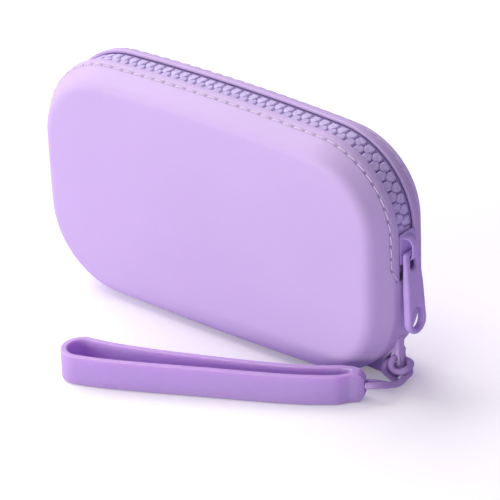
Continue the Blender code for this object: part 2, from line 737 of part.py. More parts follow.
def add_pull(parts, slider):
    """Pull tab: a tapered plate with an eye round the slider's arch and a hole at its round end.

    Its own origin is the middle of the bar above the eye, on the axis it swings about.
    """
    top = PULL_BAR / 2
    end = top - PULL_LENGTH + PULL_END_HALF_WIDTH
    outline = arc_points((0, end), PULL_END_HALF_WIDTH, 180, 360, 2 * ROUND_STEPS)
    corner = PULL_TOP_HALF_WIDTH - PULL_CORNER
    outline += arc_points((corner, top - PULL_CORNER), PULL_CORNER, 0, 90, 3)
    outline += arc_points((-corner, top - PULL_CORNER), PULL_CORNER, 90, 180, 3)
    eye_half = BRIDGE_HALF_WIDTH + FIT
    eye = rounded_box(-eye_half, eye_half, -top - EYE_LENGTH, -top, eye_half / 2)
    hole_z = top - PULL_LENGTH + GRIP_HOLE_MARGIN + GRIP_HOLE_LENGTH / 2
    angles = np.linspace(0, 2 * math.pi, 2 * ROUND_STEPS, endpoint=False)
    across, along = GRIP_HOLE_WIDTH / 2, GRIP_HOLE_LENGTH / 2
    hole = [(across * math.cos(a), hole_z + along * math.sin(a)) for a in angles]
    mesh = flat_outline("zip_pull", [outline, eye, hole], PULL_THICKNESS / 2)
    work = bmesh.new()
    work.from_mesh(mesh)
    for height in (-top, -PULL_FLARE):
        everything = work.verts[:] + work.edges[:] + work.faces[:]
        bmesh.ops.bisect_plane(work, geom=everything, plane_co=(0, height, 0), plane_no=(0, 1, 0), dist=WELD)
    for vertex in work.verts:
        share = min(max((-top - vertex.co.y) / (PULL_FLARE - top), 0), 1)
        thickness = PULL_BAR + (PULL_THICKNESS - PULL_BAR) * share
        vertex.co.z *= thickness / PULL_THICKNESS
    work.to_mesh(mesh)
    work.free()
    mesh.transform(face_out())
    pull = add_object("zip_pull", mesh, parts, "slider")
    add_bevel(pull, PULL_EDGE, 1)
    pivot = Matrix.Translation((PIVOT_OUT, 0, -PULL_BAR_DROP))
    pull.matrix_world = zip_place(SLIDER_CENTRE) @ pivot @ Matrix.Rotation(-PULL_TILT, 4, "Y")
    hang_on(pull, slider)
    return pull


def strap_half_width(distance):
    """Half of the band's outer width at a distance from the nose."""
    widest = STRAP_LENGTH - STRAP_END_HALF_WIDTH
    if distance < STRAP_NECK:
        share = distance / STRAP_NECK
        return STRAP_NOSE_HALF_WIDTH + (STRAP_NECK_HALF_WIDTH - STRAP_NOSE_HALF_WIDTH) * share
    share = (distance - STRAP_NECK) / (widest - STRAP_NECK)
    spread = STRAP_END_HALF_WIDTH - STRAP_NECK_HALF_WIDTH
    return STRAP_NECK_HALF_WIDTH + spread * share**STRAP_SPREAD_POWER


def strap_bow(distance):
    """Sideways bend of the band towards the front, nought along the nose and at the far end."""
    share = max(distance - STRAP_NOSE, 0) / (STRAP_LENGTH - STRAP_NOSE)
    return STRAP_BOW * (1 - (2 * share - 1) ** 4)


def strap_outline(start, inset, steps):
    """Closed outline of the band drawn in by the inset, from a start distance to its round end."""
    widest = STRAP_LENGTH - STRAP_END_HALF_WIDTH
    spots = [start + (widest - start) * (i / steps) ** STRAP_STEP_POWER for i in range(steps)]
    right = [(spot, strap_bow(spot) + strap_half_width(spot) - inset) for spot in spots]
    left = [(spot, strap_bow(spot) - strap_half_width(spot) + inset) for spot in spots]
    radius = STRAP_END_HALF_WIDTH - inset
    bend = arc_points((widest, strap_bow(widest)), radius, 90, -90, ROUND_STEPS + 2)
    return right + bend + left[::-1]


def add_strap(parts, swing):
    """Wrist strap: one moulded loop of band that stands on its edge, and its solid nose.

    Its own origin is the middle of the nose's end, on the axis it lifts about.
    """
    outer = strap_outline(0, 0, BAND_STEPS)
    inner = strap_outline(STRAP_NOSE, STRAP_BAND, BAND_STEPS)
    mesh = flat_outline("wrist_strap", [outer, inner], STRAP_HEIGHT / 2)
    work = bmesh.new()
    work.from_mesh(mesh)
    for height in (-STRAP_NOSE_HEIGHT / 2, STRAP_NOSE_HEIGHT / 2):
        everything = work.verts[:] + work.edges[:] + work.faces[:]
        bmesh.ops.bisect_plane(
            work, geom=everything, plane_co=(0, 0, height), plane_no=(0, 0, 1), dist=WELD
        )
    for vertex in work.verts:
        if vertex.co.x < WELD and abs(vertex.co.z) > STRAP_NOSE_HEIGHT / 2 + WELD:
            vertex.co.x += STRAP_NOSE_TAPER
    bmesh.ops.recalc_face_normals(work, faces=work.faces)
    work.to_mesh(mesh)
    work.free()
    strap = add_object("wrist_strap", mesh, parts, "strap")
    add_bevel(strap, STRAP_EDGE, 1)
    along, across = STRAP_NOSE_OFFSET
    nose = Matrix.Translation((HOLE_PLACE.x + along, across, STRAP_HEIGHT / 2))
    strap.matrix_world = nose @ Matrix.Rotation(STRAP_DIRECTION, 4, "Z")
    hang_on(strap, swing)
    return strap


def smooth_route(points, step):
    """Points about one step apart on a smooth curve through the given ones."""
    points = [Vector(point) for point in points]
    padded = [2 * points[0] - points[1], *points, 2 * points[-1] - points[-2]]
    route = []
    for before, start, end, after in zip(padded, padded[1:], padded[2:], padded[3:]):
        count = max(1, round((end - start).length / step))
        for i in range(count):
            t = i / count
            bend = (2 * before - 5 * start + 4 * end - after) * t**2
            twist = (3 * (start - end) + after - before) * t**3
            route.append(start + ((end - before) * t + bend + twist) / 2)
    return route + [points[-1]]


def cord_spots():
    """Places of the cord's route, the ones round the lug's edge carried out or in with it."""
    spots = []
    for index, (x, y, z) in enumerate(CORD_ROUTE):
        beyond = min(max(x / ROUTE_MARGIN, 0), 1)
        free = min(index, len(CORD_ROUTE) - 1 - index, ROUTE_LEG_POINTS) / ROUTE_LEG_POINTS
        carried = (LUG_MARGIN - ROUTE_MARGIN) * beyond * free
        spots.append(HOLE_PLACE + Vector((x + carried, y, z)))
    return spots


def add_cord(parts, swing):
    """Cord of the strap, hitched round the lug in one unbroken loop."""
    route = smooth_route(cord_spots(), CORD_DIAMETER / 2)
    curve = bpy.data.curves.new("hitch_loop", "CURVE")
    curve.dimensions = "3D"
    curve.bevel_depth = CORD_DIAMETER / 2
    curve.bevel_resolution = CORD_SIDES_RESOLUTION
    curve.use_fill_caps = True
    spline = curve.splines.new("POLY")
    spline.points.add(len(route) - 1)
    for point, spot in zip(spline.points, route):
        point.co = (*spot, 1)
    curve_points = curve_mesh("hitch_loop", curve)
    origin = swing.matrix_world.translation.copy()
    curve_points.transform(Matrix.Translation(-origin))
    cord = add_object("hitch_loop", curve_points, parts, "strap")
    cord.location = origin
    hang_on(cord, swing)
    return cord


def add_axis(name, place, collection):
    empty = bpy.data.objects.new(name, None)
    empty.empty_display_size = SLIDER_LENGTH
    empty.location = place
    collection.objects.link(empty)
    bpy.context.view_layer.update()
    return empty


def main():
    clear_scene()
    parts = new_collection("silicone_makeup_bag")
    cutters = new_collection("silicone_makeup_bag_cutters")
    corner = add_axis("zip_corner_axis", ZIP_CORNER_CENTRE, cutters)
    swing_place = (LUG_RIGHT - LUG_CORNER, -LUG_THICKNESS, 0)
    swing = add_axis("strap_swing_axis", swing_place, cutters)

    add_shell(parts, cutters)
    add_tape(parts, "front_tape", -1)
    add_tape(parts, "back_tape", 1)
    add_teeth(parts, "front_teeth", -1, 0)
    add_teeth(parts, "back_teeth", 1, 0.5)
    stop_place = SLIDER_CENTRE - SLIDER_LENGTH / 2 - FIT - STOP_LENGTH / 2
    inner = CHAIN_HALF_WIDTH - CORD_BEAD_WIDTH
    add_stop(parts, "front_end_stop", stop_place, -CHAIN_HALF_WIDTH, -inner)
    add_stop(parts, "back_end_stop", stop_place, inner, CHAIN_HALF_WIDTH)
    far_place = row_end() + FIT + STOP_LENGTH / 2
    add_stop(parts, "open_end_stop", far_place, -CHAIN_HALF_WIDTH, CHAIN_HALF_WIDTH)
    slider = add_slider(parts, cutters, corner)
    add_pull(parts, slider)
    add_cord(parts, swing)
    add_strap(parts, swing)


main()
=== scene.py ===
"""Silicone makeup bag: its fine surfaces and finishes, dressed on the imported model.

The file is laid out as a Blender add-on and is run as a script. Each operator makes one piece,
or one group of like pieces, and the last one makes the stage with the camera and the lamps.
"""

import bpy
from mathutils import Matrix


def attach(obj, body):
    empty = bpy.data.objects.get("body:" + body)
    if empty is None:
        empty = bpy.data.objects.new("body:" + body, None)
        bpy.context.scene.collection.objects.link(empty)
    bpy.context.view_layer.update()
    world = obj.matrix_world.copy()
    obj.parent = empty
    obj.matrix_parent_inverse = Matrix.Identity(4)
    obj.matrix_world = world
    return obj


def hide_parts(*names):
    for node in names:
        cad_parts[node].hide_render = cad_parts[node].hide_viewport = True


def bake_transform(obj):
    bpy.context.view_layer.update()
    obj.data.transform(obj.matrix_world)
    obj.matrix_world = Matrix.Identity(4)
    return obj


bl_info = {
    "name": "Silicone makeup bag",
    "version": (1, 0, 0),
    "blender": (4, 5, 0),
    "location": "View3D > Sidebar > Makeup bag",
    "description": "Builds a moulded silicone makeup bag with its zip and wrist strap",
    "category": "Add Mesh",
}

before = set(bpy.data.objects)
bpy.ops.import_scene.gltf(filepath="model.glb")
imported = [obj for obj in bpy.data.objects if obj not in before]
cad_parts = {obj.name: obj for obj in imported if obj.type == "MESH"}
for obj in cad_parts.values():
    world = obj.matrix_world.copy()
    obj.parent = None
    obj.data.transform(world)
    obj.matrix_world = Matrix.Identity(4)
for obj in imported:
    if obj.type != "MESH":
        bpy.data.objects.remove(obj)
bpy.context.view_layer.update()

import math

import bmesh
import bpy
import numpy as np
from mathutils import Matrix, Vector

# The outline's arcs and the section are those of the part's source, in metres
RISE, DROP, FOOT_SINK = 0.0296, 0.0517, 0.002
WIDEST_LEVEL = DROP - FOOT_SINK
SIDE_RADIUS, TOP_RADIUS, BOTTOM_RADIUS = 0.769, 0.762, 1.417
TOP_CORNER_RADIUS, BOTTOM_CORNER_RADIUS = 0.0277, 0.029
FOOT_BLEND = 0.001
LIP_DEPTH, LIP_INSET = 0.006, 0.00025
WALL_DEPTH, WALL_INSET = 0.0108, 0.0033
EDGE_DEPTH, EDGE_INSET, CROWN = 0.0133, 0.0075, 0.0012
SLOT_END_DROP = 0.0137
FIT = 0.0003

# So are the lug's outline, and the place of its hole outside the corner's arc
LUG_MARGIN, LUG_CORNER, LUG_LOW = 0.0029, 0.002, 0.0006
LUG_ROOT_OFFSET, LUG_ROOT_LEVEL, LUG_TOP_LEVEL = 0.01333, 0.0011, 0.0146
CORD_ROOM = 0.0005
HOLE_DISTANCE, HOLE_DIRECTION = 0.0024, math.radians(-42)

# Teeth begin this far past the slider's middle
FIRST_TOOTH = 0.0007
ACROSS = np.array([0.0, 1.0, 0.0])


def metres(description, default):
    return bpy.props.FloatProperty(
        description=description, default=default, unit="LENGTH", subtype="DISTANCE", precision=5
    )


def degrees(description, default):
    return bpy.props.FloatProperty(
        description=description, default=math.radians(default), unit="ROTATION", subtype="ANGLE"
    )


def linear(code):
    """Linear red, green, blue and alpha of an sRGB hex code."""
    value = np.array([int(code[i : i + 2], 16) for i in (1, 3, 5)]) / 255
    value = np.where(value <= 0.04045, value / 12.92, ((value + 0.055) / 1.055) ** 2.4)
    return (*value.tolist(), 1.0)


def colour(description, code):
    return bpy.props.FloatVectorProperty(
        description=description, default=linear(code), size=4, min=0, max=1, subtype="COLOR"
    )


class PouchSizes(bpy.types.PropertyGroup):
    length: metres("Length of the pouch", 0.135)
    slot_half_width: metres("From the middle plane to the rim", 0.0038)
    wall: metres("Thickness of the silicone", 0.0018)
    lip: metres("Thickness of the silicone at the rim, where the tape is sewn on", 0.0011)
    rim_rounding: metres("Rounding of the rim's edges", 0.0004)
    lug_thickness: metres("Thickness of the lug at the corner", 0.003)
    lug_rounding: metres("Rounding of the lug's edges", 0.0005)


class ZipSizes(bpy.types.PropertyGroup):
    pitch: metres("From one tooth to the next of the same row", 0.00336)
    tooth_thickness: metres("Height of a tooth above and below the tape together", 0.0026)
    half_width: metres("From the zip's middle to the foot of a tooth", 0.003)
    tape: metres("Thickness of the woven tape", 0.0005)
    tail: metres("How far the tapes run on past the slot's ends", 0.004)
    bead: metres("Diameter of the cord woven into the tape's edge", 0.0014)
    slider_length: metres("Length of the slider's body", 0.0102)
    slider_place: metres("Along the zip from its closed end to the slider's middle", 0.0101)
    slider_half_width: metres("Half of the slider's width", 0.0036)
    plate: metres("Thickness of the slider's plates", 0.0009)
    stop_length: metres("Length of an end stop along the zip", 0.003)
    stop_width: metres("Width of a stop at the closed end", 0.0012)


class PullSizes(bpy.types.PropertyGroup):
    length: metres("From the top of the bar to the round end", 0.0274)
    top_half_width: metres("Half of the width beside the eye", 0.0034)
    end_half_width: metres("Half of the width of the round end", 0.0042)
    thickness: metres("Thickness of the tab", 0.0026)
    bar: metres("Thickness of the bar above the eye", 0.0015)
    bar_drop: metres("From the slider's middle down to the bar", 0.0015)
    flare: metres("From the bar to where the tab has its full thickness", 0.0109)
    corner: metres("Rounding of the two top corners", 0.0012)
    edge: metres("Rounding of the tab's edges", 0.0009)
    tilt: degrees("How far the tab hangs away from the zip", 3)


class StrapSizes(bpy.types.PropertyGroup):
    length: metres("From the nose to the wide end", 0.0935)
    height: metres("Width of the band, which stands on its edge", 0.0095)
    band: metres("Thickness of the band", 0.0019)
    edge: metres("Rounding of the band's edges", 0.00035)
    cord: metres("Diameter of the cord", 0.002)
    direction: degrees("Where the strap points, seen from above", 204.5)


class StitchSizes(bpy.types.PropertyGroup):
    spacing: metres("From one stitch to the next", 0.004)
    length: metres("Length of a stitch that shows", 0.0033)
    thread: metres("Diameter of the sewing thread", 0.00036)
    from_rim: metres("How far outside the rim's edge the seam runs", 0.003)


class FinishColours(bpy.types.PropertyGroup):
    silicone: colour("Colour of the pouch", "#CFB9E5")
    # The strap is the same silicone as the pouch. Its darker colour is painted shade, as its front turns
    # away from the lamps
    strap: colour("Colour of the strap and its cord", "#C2A8DB")
    teeth: colour("Colour of the zip's teeth", "#D9CBF4")
    tape: colour("Colour of the woven tape", "#BCA6DF")
    bead: colour("Colour of the tape's corded edge", "#BBA9DD")
    slider: colour("Colour of the lacquered slider and pull", "#C9AFEA")
    thread: colour("Colour of the sewing thread", "#EFE5F8")
    floor: colour("Colour of the floor", "#FFFFFF")


SETTINGS = {
    "pouch": PouchSizes,
    "chain": ZipSizes,
    "pull": PullSizes,
    "strap": StrapSizes,
    "stitch": StitchSizes,
    "colours": FinishColours,
}


class Maker:
    """Base of the operators, which calls build() with the groups of settings named in needs"""

    def execute(self, context):
        self.build(*(getattr(context.scene, f"makeup_bag_{name}") for name in self.needs))
        return {"FINISHED"}


def corner_arc(rise, corner_radius, end_radius, length):
    """Centre and two angles of the arc that joins the side arc to an end arc, touching both
    from inside: it lies at the difference of the radii from each of their centres."""
    side = np.array([length / 2 - SIDE_RADIUS, 0.0])
    end = np.array([0.0, rise - end_radius])
    from_end, from_side = end_radius - corner_radius, SIDE_RADIUS - corner_radius
    gap = side - end
    apart = np.hypot(*gap)
    along = (from_end**2 - from_side**2 + apart**2) / (2 * apart)
    unit = gap / apart
    centre = end + unit * along + np.array([unit[1], -unit[0]]) * math.sqrt(from_end**2 - along**2)
    first = math.atan2(*(centre - side)[::-1])
    last = math.atan2(*(centre - end)[::-1])
    return centre, first, last


def outline_arcs(length):
    """Arcs (centre x, centre z, radius, first angle, last angle) of the outline, first over the
    top from the right slot end to the left one, then round the bottom back to the right. The
    second half of each is the mirror of the first, with its angles taken from half a turn, or
    one and a half."""
    top, top_first, top_last = corner_arc(RISE, TOP_CORNER_RADIUS, TOP_RADIUS, length)
    low, low_first, low_last = corner_arc(DROP, BOTTOM_CORNER_RADIUS, BOTTOM_RADIUS, length)
    side = length / 2 - SIDE_RADIUS
    slot = -math.asin(SLOT_END_DROP / SIDE_RADIUS)
    half = math.pi
    upper = [
        (side, 0, SIDE_RADIUS, slot, top_first),
        (*top, TOP_CORNER_RADIUS, top_first, top_last),
        (0, RISE - TOP_RADIUS, TOP_RADIUS, top_last, half - top_last),
    ]
    lower = [
        (-side, 0, SIDE_RADIUS, half - slot, half + low_first),
        (*-low, BOTTOM_CORNER_RADIUS, half + low_first, half + low_last),
        (0, BOTTOM_RADIUS - DROP, BOTTOM_RADIUS, half + low_last, 2 * half - low_last),
    ]
    for arcs, turn in ((upper, half), (lower, 3 * half)):
        arcs += [(-x, z, radius, turn - last, turn - first) for x, z, radius, first, last in arcs[1::-1]]
    return np.array([upper, lower]) + [0, WIDEST_LEVEL, 0, 0, 0]


def place_on(arcs, distance, inset):
    """Centre x, centre z, radius and angle at distances along arcs drawn in by the inset.

    The distance picks the arc whose stretch it falls in, and the rest of it, divided by that
    arc's radius, is the angle from the arc's first one.
    """
    distance = np.asarray(distance, float)
    radius = arcs[:, 2] - inset
    ends = np.cumsum((arcs[:, 4] - arcs[:, 3]) * radius)
    index = np.clip(np.searchsorted(ends, distance, side="right"), 0, len(arcs) - 1)
    starts = np.concatenate([[0], ends[:-1]])
    angle = arcs[index, 3] + (distance - starts[index]) / radius[index]
    return arcs[index, 0], arcs[index, 1], radius[index], angle


def run_length(arcs, inset):
    return float(((arcs[:, 4] - arcs[:, 3]) * (arcs[:, 2] - inset)).sum())


def outline_points(rows, inset, depth):
    """Points of the outline at rows (centre x, centre z, radius, angle), each drawn in by its
    inset and at its depth: centre plus radius less inset, along the angle."""
    x, z, radius, angle = rows
    reach = radius - inset
    depth = np.broadcast_to(depth, reach.shape)
    return np.stack([x + reach * np.cos(angle), depth, z + reach * np.sin(angle)], -1)


def quads(rows, columns, close_rows=False, close_columns=False, start=0):
    """Corner numbers of the faces between neighbouring rows and columns of a grid."""
    row = np.arange(rows if close_rows else rows - 1)[:, None]
    column = np.arange(columns if close_columns else columns - 1)[None, :]
    here, above = start + row * columns, start + (row + 1) % rows * columns
    beside = (column + 1) % columns
    corners = [here + column, here + beside, above + beside, above + column]
    return np.stack(corners, -1).reshape(-1, 4)


def fans(ring, centre):
    """Triangles from each neighbouring pair of a ring of corner numbers to its centre."""
    return np.stack([ring, np.roll(ring, -1), np.broadcast_to(centre, ring.shape)], -1)


def tube_faces(rings, sides):
    """Faces of a tube of rings, closed at each end by a fan to one of the two points after them."""
    last, ring = rings * sides, np.arange(sides)
    return [
        quads(rings, sides, close_columns=True), fans(ring, last), fans(ring + last - sides, last + 1),
    ]


def strip(line, step):
    """Faces between a line of corner numbers and the same line a step further on."""
    return np.stack([line[:-1], line[1:], line[1:] + step, line[:-1] + step], -1)


def repeated(groups, count, points):
    """Faces of many like bodies that follow each other, with the same number of points each."""
    steps = np.arange(count)[:, None, None] * points
    return [(group[None] + steps).reshape(-1, group.shape[1]) for group in groups]


def run_along(points):
    """Distance along a line of points, summed from its first one."""
    return np.concatenate([[0], np.cumsum(np.linalg.norm(np.diff(points, axis=0), axis=1))])


def headings(path):
    """Unit vectors along a line of points, each from the difference of its two neighbours."""
    heading = np.gradient(path, axis=0)
    return heading / np.linalg.norm(heading, axis=1)[:, None]


def turns(sides):
    """Even angles round a whole turn."""
    return np.linspace(0, 2 * math.pi, sides, endpoint=False)


def circle(angle):
    """Point of the unit circle, cosine and sine, at each angle."""
    return np.stack([np.cos(angle), np.sin(angle)], -1)


def table(*parts):
    """Points from one array for each coordinate, all stretched to their common shape."""
    return np.stack(np.broadcast_arrays(*parts), -1)


def signed_power(value, exponent):
    return np.sign(value) * np.abs(value) ** exponent


def make_piece(
    name, points, faces, finish, body, stands_for=(), chart=None, merge=0.0, sharp=None
):
    """Mesh object in the model's frame from points and lists of face corners, facing outwards.

    The chart gives each point two lengths in metres, which become the UV map "surface".
    """
    mesh = bpy.data.meshes.new(name)
    corners = [face for group in faces for face in np.asarray(group).tolist()]
    mesh.from_pydata(np.asarray(points, float).reshape(-1, 3).tolist(), [], corners)
    if chart is not None:
        layer = mesh.uv_layers.new(name="surface")
        used = np.empty(len(mesh.loops), np.int32)
        mesh.loops.foreach_get("vertex_index", used)
        layer.data.foreach_set("uv", np.asarray(chart, np.float32).reshape(-1, 2)[used].ravel())
    work = bmesh.new()
    work.from_mesh(mesh)
    if merge:
        bmesh.ops.remove_doubles(work, verts=work.verts, dist=merge)
    bmesh.ops.recalc_face_normals(work, faces=work.faces)
    work.to_mesh(mesh)
    work.free()
    mesh.materials.append(finish)
    mesh.shade_smooth()
    if sharp:
        mesh.set_sharp_from_angle(angle=math.radians(sharp))
    piece = bpy.data.objects.new(name, mesh)
    bpy.context.scene.collection.objects.link(piece)
    if body:
        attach(piece, body)
    if stands_for:
        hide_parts(*stands_for)
    return piece


def add_node(tree, kind, settings=None, links=None):
    """One shader node with its own settings, its socket values and its links.

    Settings are attributes, or values of the sockets of that name or number. Links name an input
    of the new node and give the output socket that feeds it.
    """
    made = tree.nodes.new(kind)
    for key, value in (settings or {}).items():
        if isinstance(key, str) and hasattr(made, key):
            setattr(made, key, value)
        else:
            made.inputs[key].default_value = value
    for key, source in (links or {}).items():
        tree.links.new(source, made.inputs[key])
    return made


def blank_finish(name, base, roughness, ior, **others):
    """A material with one Principled shader, its values set on its own sockets."""
    finish = bpy.data.materials.new(name)
    finish.use_nodes = True
    shader = finish.node_tree.nodes["Principled BSDF"]
    values = {"Base Color": base, "Roughness": roughness, "IOR": ior}
    values |= {key.replace("_", " ").title(): value for key, value in others.items()}
    for key, value in values.items():
        shader.inputs[key].default_value = value
    return finish, finish.node_tree, shader


def noise(tree, scale):
    """Factor of a noise on the object's own metres, with the scale's number of grains a metre."""
    place = add_node(tree, "ShaderNodeTexCoord").outputs["Object"]
    return add_node(tree, "ShaderNodeTexNoise", {"Scale": scale}, {"Vector": place}).outputs["Fac"]


def waves(tree, direction, crest_mm, distortion=0.0):
    """Factor of a wave on the piece's own map. A wave of scale one has its crests 0.314 units
    apart, and the map is in metres."""
    chart = add_node(tree, "ShaderNodeUVMap", {"uv_map": "surface"}).outputs["UV"]
    return add_node(tree, "ShaderNodeTexWave", {
        "bands_direction": direction, "Scale": 0.314 / (crest_mm / 1000), "Distortion": distortion,
    }, {"Vector": chart}).outputs["Fac"]


def ranged(tree, source, low, high, first, last):
    """A value run smoothly from the first to the last while its source goes from low to high."""
    return add_node(tree, "ShaderNodeMapRange", {
        "interpolation_type": "SMOOTHSTEP", "From Min": low, "From Max": high,
        "To Min": first, "To Max": last,
    }, {"Value": source}).outputs["Result"]


def maths(tree, operation, *inputs):
    """Value of a Math node whose inputs are numbers or the output sockets that feed them."""
    made = add_node(tree, "ShaderNodeMath", {"operation": operation})
    for number, source in enumerate(inputs):
        if isinstance(source, bpy.types.NodeSocket):
            tree.links.new(source, made.inputs[number])
        else:
            made.inputs[number].default_value = source
    return made.outputs["Value"]


def tinted(tree, shader, base, darker, lighter, factor):
    """Base colour that runs between a darker and a lighter shade of itself by the factor."""
    ramp = add_node(tree, "ShaderNodeValToRGB", {}, {"Fac": factor})
    for stop, place, shade in zip(ramp.color_ramp.elements, (0.3, 0.7), (darker, lighter)):
        stop.position = place
        stop.color = (*np.minimum(np.array(base[:3]) * shade, 1).tolist(), 1)
    tree.links.new(ramp.outputs["Color"], shader.inputs["Base Color"])


def bumped(tree, shader, height, strength, depth_mm, links=None, **settings):
    """Bump of a depth in millimetres on the shader's normal."""
    bump = add_node(tree, "ShaderNodeBump", {
        "Strength": strength, "Distance": depth_mm / 1000, **settings,
    }, {"Height": height} | (links or {}))
    tree.links.new(bump.outputs["Normal"], shader.inputs["Normal"])
    return bump


def seam_marks(tree, first, spacing):
    """Shares of the seam's furrow and of its needle holes, from the chart (along, off the seam).

    A cosine of the way along is one at the middle of each stitch and minus one between two.
    """
    bottom, edge, hole_middle, hole_edge = 0.0001, 0.0006, -0.9, -0.3
    chart = add_node(tree, "ShaderNodeUVMap", {"uv_map": "surface"}).outputs["UV"]
    parts = add_node(tree, "ShaderNodeSeparateXYZ", {}, {"Vector": chart}).outputs
    furrow = ranged(tree, maths(tree, "ABSOLUTE", parts["Y"]), bottom, edge, 1.0, 0.0)
    rate = 2 * math.pi / spacing
    phase = maths(tree, "MULTIPLY_ADD", parts["X"], rate, -rate * first)
    between = ranged(tree, maths(tree, "COSINE", phase), hole_middle, hole_edge, 1.0, 0.0)
    return furrow, maths(tree, "MULTIPLY", furrow, between)


def moulded_silicone(name, base, grain_mm=0.35, depth_mm=0.006, scatter=0.25, reach_mm=2.5, seam=None):
    """Platinum-cured silicone from a blasted mould, IOR 1.41, with a soft-touch topcoat.

    It gives a wide dull highlight, a little light that goes in and comes out again, and a very
    fine grain from the blasted steel. The grain of a real mould is under 0.1 mm and is drawn
    coarser here, so that it shows at all. A seam adds its furrow and its needle holes as bumps,
    and the holes are also painted darker: painted shade in the pits.
    """
    finish, tree, shader = blank_finish(
        name, base, 0.52, 1.41, subsurface_weight=scatter, subsurface_scale=reach_mm / 1000,
        subsurface_radius=(1.0, 0.4, 1.0), sheen_weight=0.15, sheen_roughness=0.4,
    )
    broad = noise(tree, 28.0)
    tinted(tree, shader, base, 0.985, 1.015, broad)
    wear = add_node(tree, "ShaderNodeMapRange", {"To Min": 0.48, "To Max": 0.57}, {"Value": broad})
    tree.links.new(wear.outputs["Result"], shader.inputs["Roughness"])
    grain = bumped(tree, shader, noise(tree, 1000 / grain_mm), 0.5, depth_mm)
    if seam:
        furrow, hole = seam_marks(tree, *seam)
        depth = maths(tree, "MULTIPLY_ADD", hole, 0.5, furrow)
        bumped(tree, shader, depth, 1.0, 0.15, {"Normal": grain.outputs["Normal"]}, invert=True)
        # In the needle holes the base colour is darkened by up to 35 %: painted shade in the pits
        plain = shader.inputs["Base Color"].links[0].from_socket
        hole_shaded = add_node(tree, "ShaderNodeVectorMath", {"operation": "SCALE"}, {
            "Vector": plain, "Scale": maths(tree, "MULTIPLY_ADD", hole, -0.35, 1.0),
        })
        tree.links.new(hole_shaded.outputs["Vector"], shader.inputs["Base Color"])
    return finish


def moulded_acetal(name, base):
    """Acetal (POM) shot into the zip's mould, IOR 1.48: satin, a little translucent.

    Each tooth keeps small differences of shade from the flow of the plastic.
    """
    finish, tree, shader = blank_finish(
        name, base, 0.36, 1.48, subsurface_weight=0.15, subsurface_scale=0.0006,
        subsurface_radius=(1.0, 0.9, 1.0),
    )
    tinted(tree, shader, base, 0.84, 1.1, noise(tree, 900.0))
    bumped(tree, shader, noise(tree, 2600.0), 0.35, 0.02)
    return finish


def woven_polyester(name, base, thread_mm):
    """Polyester filament yarn in a tight weave, IOR 1.54: dull, ribbed across and along.

    Two waves on the piece's own map, one each way, make the threads. Their spacing is the real
    one of a zip tape, about a third of a millimetre. Where the weave is low, between the threads,
    the base colour is darker: painted shade in the grooves.
    """
    finish, tree, shader = blank_finish(name, base, 0.8, 1.54, sheen_weight=0.25, sheen_roughness=0.45)
    warp, weft = waves(tree, "X", thread_mm, 0.4), waves(tree, "DIAGONAL", thread_mm / 0.7)
    weave = maths(tree, "MULTIPLY", warp, weft)
    # Darker where the weave is low: painted shade between the threads
    tinted(tree, shader, base, 0.7, 1.12, weave)
    bumped(tree, shader, weave, 0.8, 0.1)
    return finish


def lacquered_zinc(name, base):
    """Zinc die casting under a coloured lacquer, IOR 1.5: smooth satin with a thin clear skin.

    The lacquer pools a little, which shows as a long soft waviness.
    """
    finish, tree, shader = blank_finish(name, base, 0.4, 1.5, coat_weight=0.25, coat_roughness=0.22)
    pools = noise(tree, 260.0)
    tinted(tree, shader, base, 0.96, 1.04, pools)
    bumped(tree, shader, pools, 0.3, 0.06)
    return finish


def twisted_thread(name, base, ply_mm=0.5625):
    """Bonded polyester sewing thread, three plies twisted, IOR 1.54.

    A diagonal wave on the stitch's own map draws the plies, and darkens the base colour in the
    grooves between them as painted shade.
    """
    finish, tree, shader = blank_finish(name, base, 0.6, 1.54, sheen_weight=0.2, sheen_roughness=0.4)
    plies = waves(tree, "DIAGONAL", ply_mm)
    # Darker in the grooves between the plies: painted shade
    tinted(tree, shader, base, 0.82, 1.08, plies)
    bumped(tree, shader, plies, 0.7, 0.06)
    return finish


def rounded_height(gap, rounding):
    """How far a face drops near an edge that has a quarter-round: the radius less the height of
    a circle at that gap from the edge, and nothing further in."""
    left = np.clip(rounding - gap, 0, rounding)
    return rounding - np.sqrt(np.maximum(rounding**2 - left**2, 0))


def outline_gap(points, loop):
    """Least distance in the plane from each point to a closed loop of points."""
    run = np.roll(loop, -1, axis=0) - loop
    away = points[:, None] - loop
    share = np.clip((away * run).sum(-1) / np.maximum((run**2).sum(-1), 1e-18), 0, 1)
    near = away - share[..., None] * run
    return np.sqrt((near**2).sum(-1)).min(axis=1)


def soft_block(sizes, centre, plan_power, side_power, rows, columns):
    """Closed block with round edges: a sphere whose sine and cosine are raised to small powers,
    2 over the plan power round the block and 2 over the side power from end to end."""
    rise = np.linspace(-math.pi / 2, math.pi / 2, rows + 1)[1:-1, None]
    wide, high = signed_power(circle(rise), 2 / side_power).T[:, 0, :, None]
    cosine, sine = signed_power(circle(turns(columns)), 2 / plan_power).T
    unit = table(high, wide * cosine, wide * sine).reshape(-1, 3)
    unit = np.vstack([unit, [[-1, 0, 0], [1, 0, 0]]])
    return unit * np.array(sizes) / 2 + centre, tube_faces(rows - 1, columns)


def zip_inset(pouch, chain):
    """The zip's middle line lies a wall, a gap and half a tape under the outline."""
    return pouch.wall + FIT + chain.tape / 2


def zip_length(pouch, chain):
    return run_length(outline_arcs(pouch.length)[0], zip_inset(pouch, chain))


